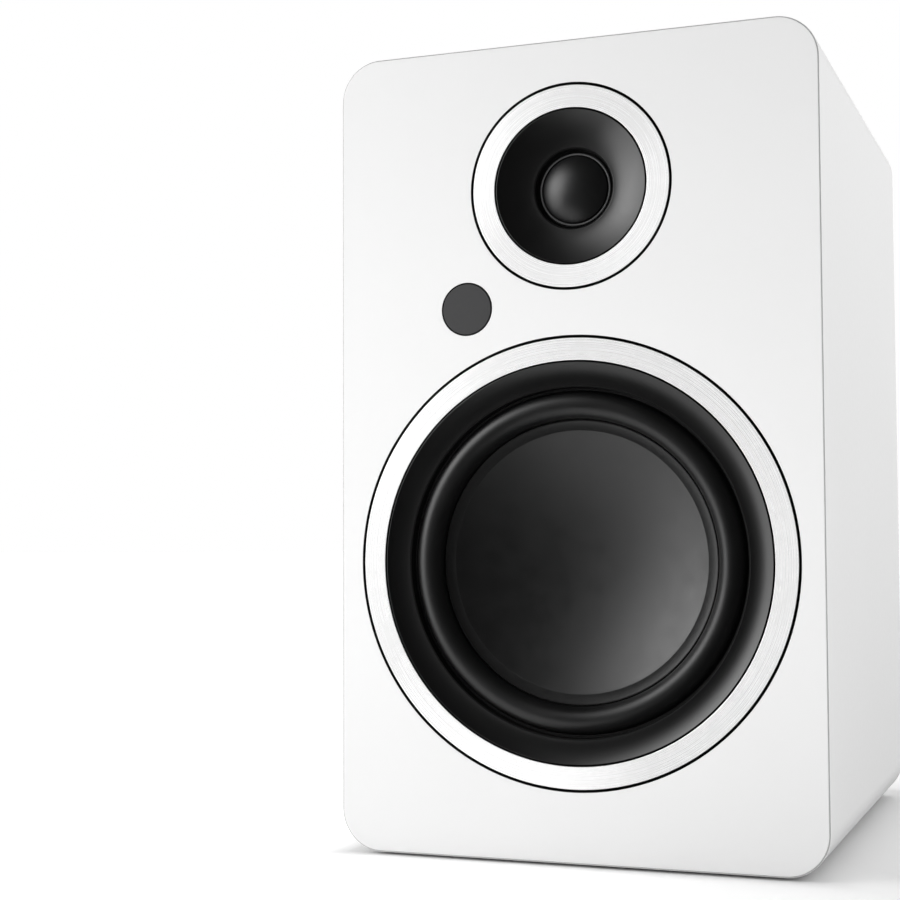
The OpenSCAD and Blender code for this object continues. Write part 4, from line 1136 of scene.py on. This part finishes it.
def make_suspension():
    """The spider and the tinsel leads behind the cone."""
    centre = face_middle("woofer_trim_ring")
    start, flat, edge, depth, half = 12.95, 35.0, 39.3, 33.5, 0.25
    wave, waves, count = 1.1, 4.5, 90
    line = [(start + (flat - start) * t, depth - wave * math.sin(TURN * waves * t))
            for t in np.linspace(0, 1, count)] + [(edge, depth)]
    profile = [(r, d - half) for r, d in line] + [(r, d + half) for r, d in reversed(line)]
    flexing_lathe("spider_cloth", centre, profile, "spider_cloth", "woofer_moving", start + 1.0, flat,
                  segments=160, smooth=1.2, node="woofer_spider")
    route = [(13.9, 25.5), (22, 28.5), (34, 27.5), (42, 26.5), (47.5, 28.5), (49, 33.5)]
    parts = []
    for side in (-2.6, 2.6):
        points = [centre + Vector((side, d, r)) * MM for r, d in route]
        parts.append((tube_bm(points, 0.5), Matrix.Identity(4), 0))
    leads = joined("tinsel_pair", parts, ["tinsel"], body=None, weighted=False, node="tinsel_leads")
    radial_blend(leads)


# ---- The rest of the CAD nodes ----

def dress_nodes():
    """Gives each CAD node that is still shown the material of its slot."""
    slots = {s["node"]: s["material_slot"] for s in frame["record"]["subparts"]}
    for name, slot in slots.items():
        for material_slot in frame["nodes"][name].material_slots:
            material_slot.material = LOOKS.get(slot, LOOKS["socket_plastic"])


# ---- Stage ----

# The floor's painted glow is least here, leaving painted shade beside the cabinet
PAINTED_SHADE_AT = (0.17, 0.0, 0.0)      # where the floor is darkest, beside the cabinet


def make_stage():
    """A white floor with painted light: it glows away from the object, where it has to be as pale as the
    surround, and its glow fades towards a point beside the cabinet and stops where the cabinet stands,
    which paints shade there. Only a patch in front on the left shows in reflections, as on a table in a
    dark studio."""
    n = Nodes(bpy.data.materials.new("floor_paper"))
    reach = n.vector("DISTANCE", n.where, PAINTED_SHADE_AT, "Value")
    axes = n.add("SeparateXYZ", {0: n.where}).outputs
    half_w = size("cabinet_shell").x / 2 * MM
    beside = n.ramp(n.math("ABSOLUTE", axes["X"]), 0.0, 1.0, half_w - 0.002, half_w + 0.012)
    before = n.ramp(n.math("ABSOLUTE", axes["Y"]), 0.0, 1.0, -FRONT_Y - 0.003, -FRONT_Y + 0.009)
    # Painted light: the glow rises away from that point, and the two masks keep it off the floor under
    # the cabinet, a painted shadow there
    painted_floor_light = n.math("MULTIPLY", n.ramp(reach, 0.02, 0.5, 0.11, 0.22), n.math("MAXIMUM", beside, before))
    paper = n.finish(
        Base_Color=n.tint(n.noise(3.0), grey(0.92), grey(0.93)), Roughness=0.9, Specular_IOR_Level=0.1,
        Emission_Color=grey(1.0), Emission_Strength=painted_floor_light,
    )
    around = [(math.cos(a), math.sin(a)) for a in np.linspace(0, TURN, 64, False)]
    inner, outer = (
        [Vector((x + r * c, y + r * s, 0)) for c, s in around]
        for r, x, y in ((0.21, -0.22, -0.22), (20.0, 0.0, 0.0))
    )
    patch, floor = bmesh.new(), bmesh.new()
    patch.faces.new([patch.verts.new(p) for p in inner])
    bridge(floor, *([floor.verts.new(p) for p in ring] for ring in (outer, inner)))
    made = []
    for name, bm in (("floor_patch", patch), ("floor", floor)):
        piece = in_scene(name, mesh_from(name, bm))
        piece.data.materials.append(paper)
        made.append(piece)
    made[1].visible_glossy = False
    return made


def area_light(name, place, target, width, height, radiance):
    """A softbox of a given brightness, which the camera doesn't see."""
    data = bpy.data.lights.new(name, "AREA")
    data.shape, data.size, data.size_y = "RECTANGLE", width, height
    data.energy = radiance * math.pi * width * height
    light = in_scene(name, data)
    light.location = place
    light.rotation_euler = (Vector(target) - Vector(place)).to_track_quat("-Z", "Y").to_euler()
    light.visible_camera = False
    return light


def make_lights(floor):
    """A white surround that is dimmer towards the front, with softboxes on the upper left."""
    scene = bpy.context.scene
    scene.view_settings.view_transform = "Standard"
    n = Nodes(bpy.data.worlds.new("studio"), "Background")
    slope = n.vector("DOT_PRODUCT", n.places["Generated"], (0.28, 0.50, 0.22), "Value")
    dim = n.math("MULTIPLY_ADD", slope, 0.75, 0.58)
    seen = n.math("MAXIMUM", dim, n.add("LightPath").outputs["Is Camera Ray"])
    scene.world = n.finish(Color=grey(1.0), Strength=seen)
    scene.world.cycles_visibility.glossy = False

    target = (0.0, FRONT_Y, 0.15)
    area_light("key", (-0.82, -0.60, 0.33), target, 0.55, 1.05, 3.2)
    sheen = area_light("sheen", (-0.70, -0.62, 0.62), target, 0.75, 0.80, 2.1)
    back = (0.0, REAR_Y, 0.14)
    rear_sheen = area_light("rear_sheen", (-0.50, 1.0, 0.60), back, 0.7, 0.7, 3.2)
    rear_haze = area_light("rear_haze", (-0.85, 1.2, 0.20), back, 0.9, 0.8, 0.9)
    for light in (sheen, rear_sheen, rear_haze):
        light.visible_diffuse = False
    unlit = bpy.data.collections.new("unlit_by_fills")
    for piece in floor:
        unlit.objects.link(piece)
    for entry in unlit.collection_objects:
        entry.light_linking.link_state = "EXCLUDE"
    for fill in (
        area_light("side_fill", (1.2, 0.42, 0.75), target, 1.1, 1.1, 3.5),
        area_light("top_fill", (0.0, 0.30, 1.1), (0.0, 0.0, 0.29), 0.5, 0.5, 1.4),
        area_light("low_fill", (-0.03, -0.42, 0.11), (0.0, FRONT_Y, 0.01), 0.5, 0.12, 2.6),
    ):
        fill.visible_glossy = False
        fill.light_linking.receiver_collection = unlit


for make in (
    make_cabinet, make_rear_panel, make_feet, make_port, make_woofer, make_tweeter, make_sensor,
    make_suspension, make_amp_plate, make_plate_screws, make_plate_marks, make_rca, make_aux,
    make_optical, make_inlet, make_switch, make_posts, make_knob, dress_nodes,
):
    make()
make_lights(make_stage())
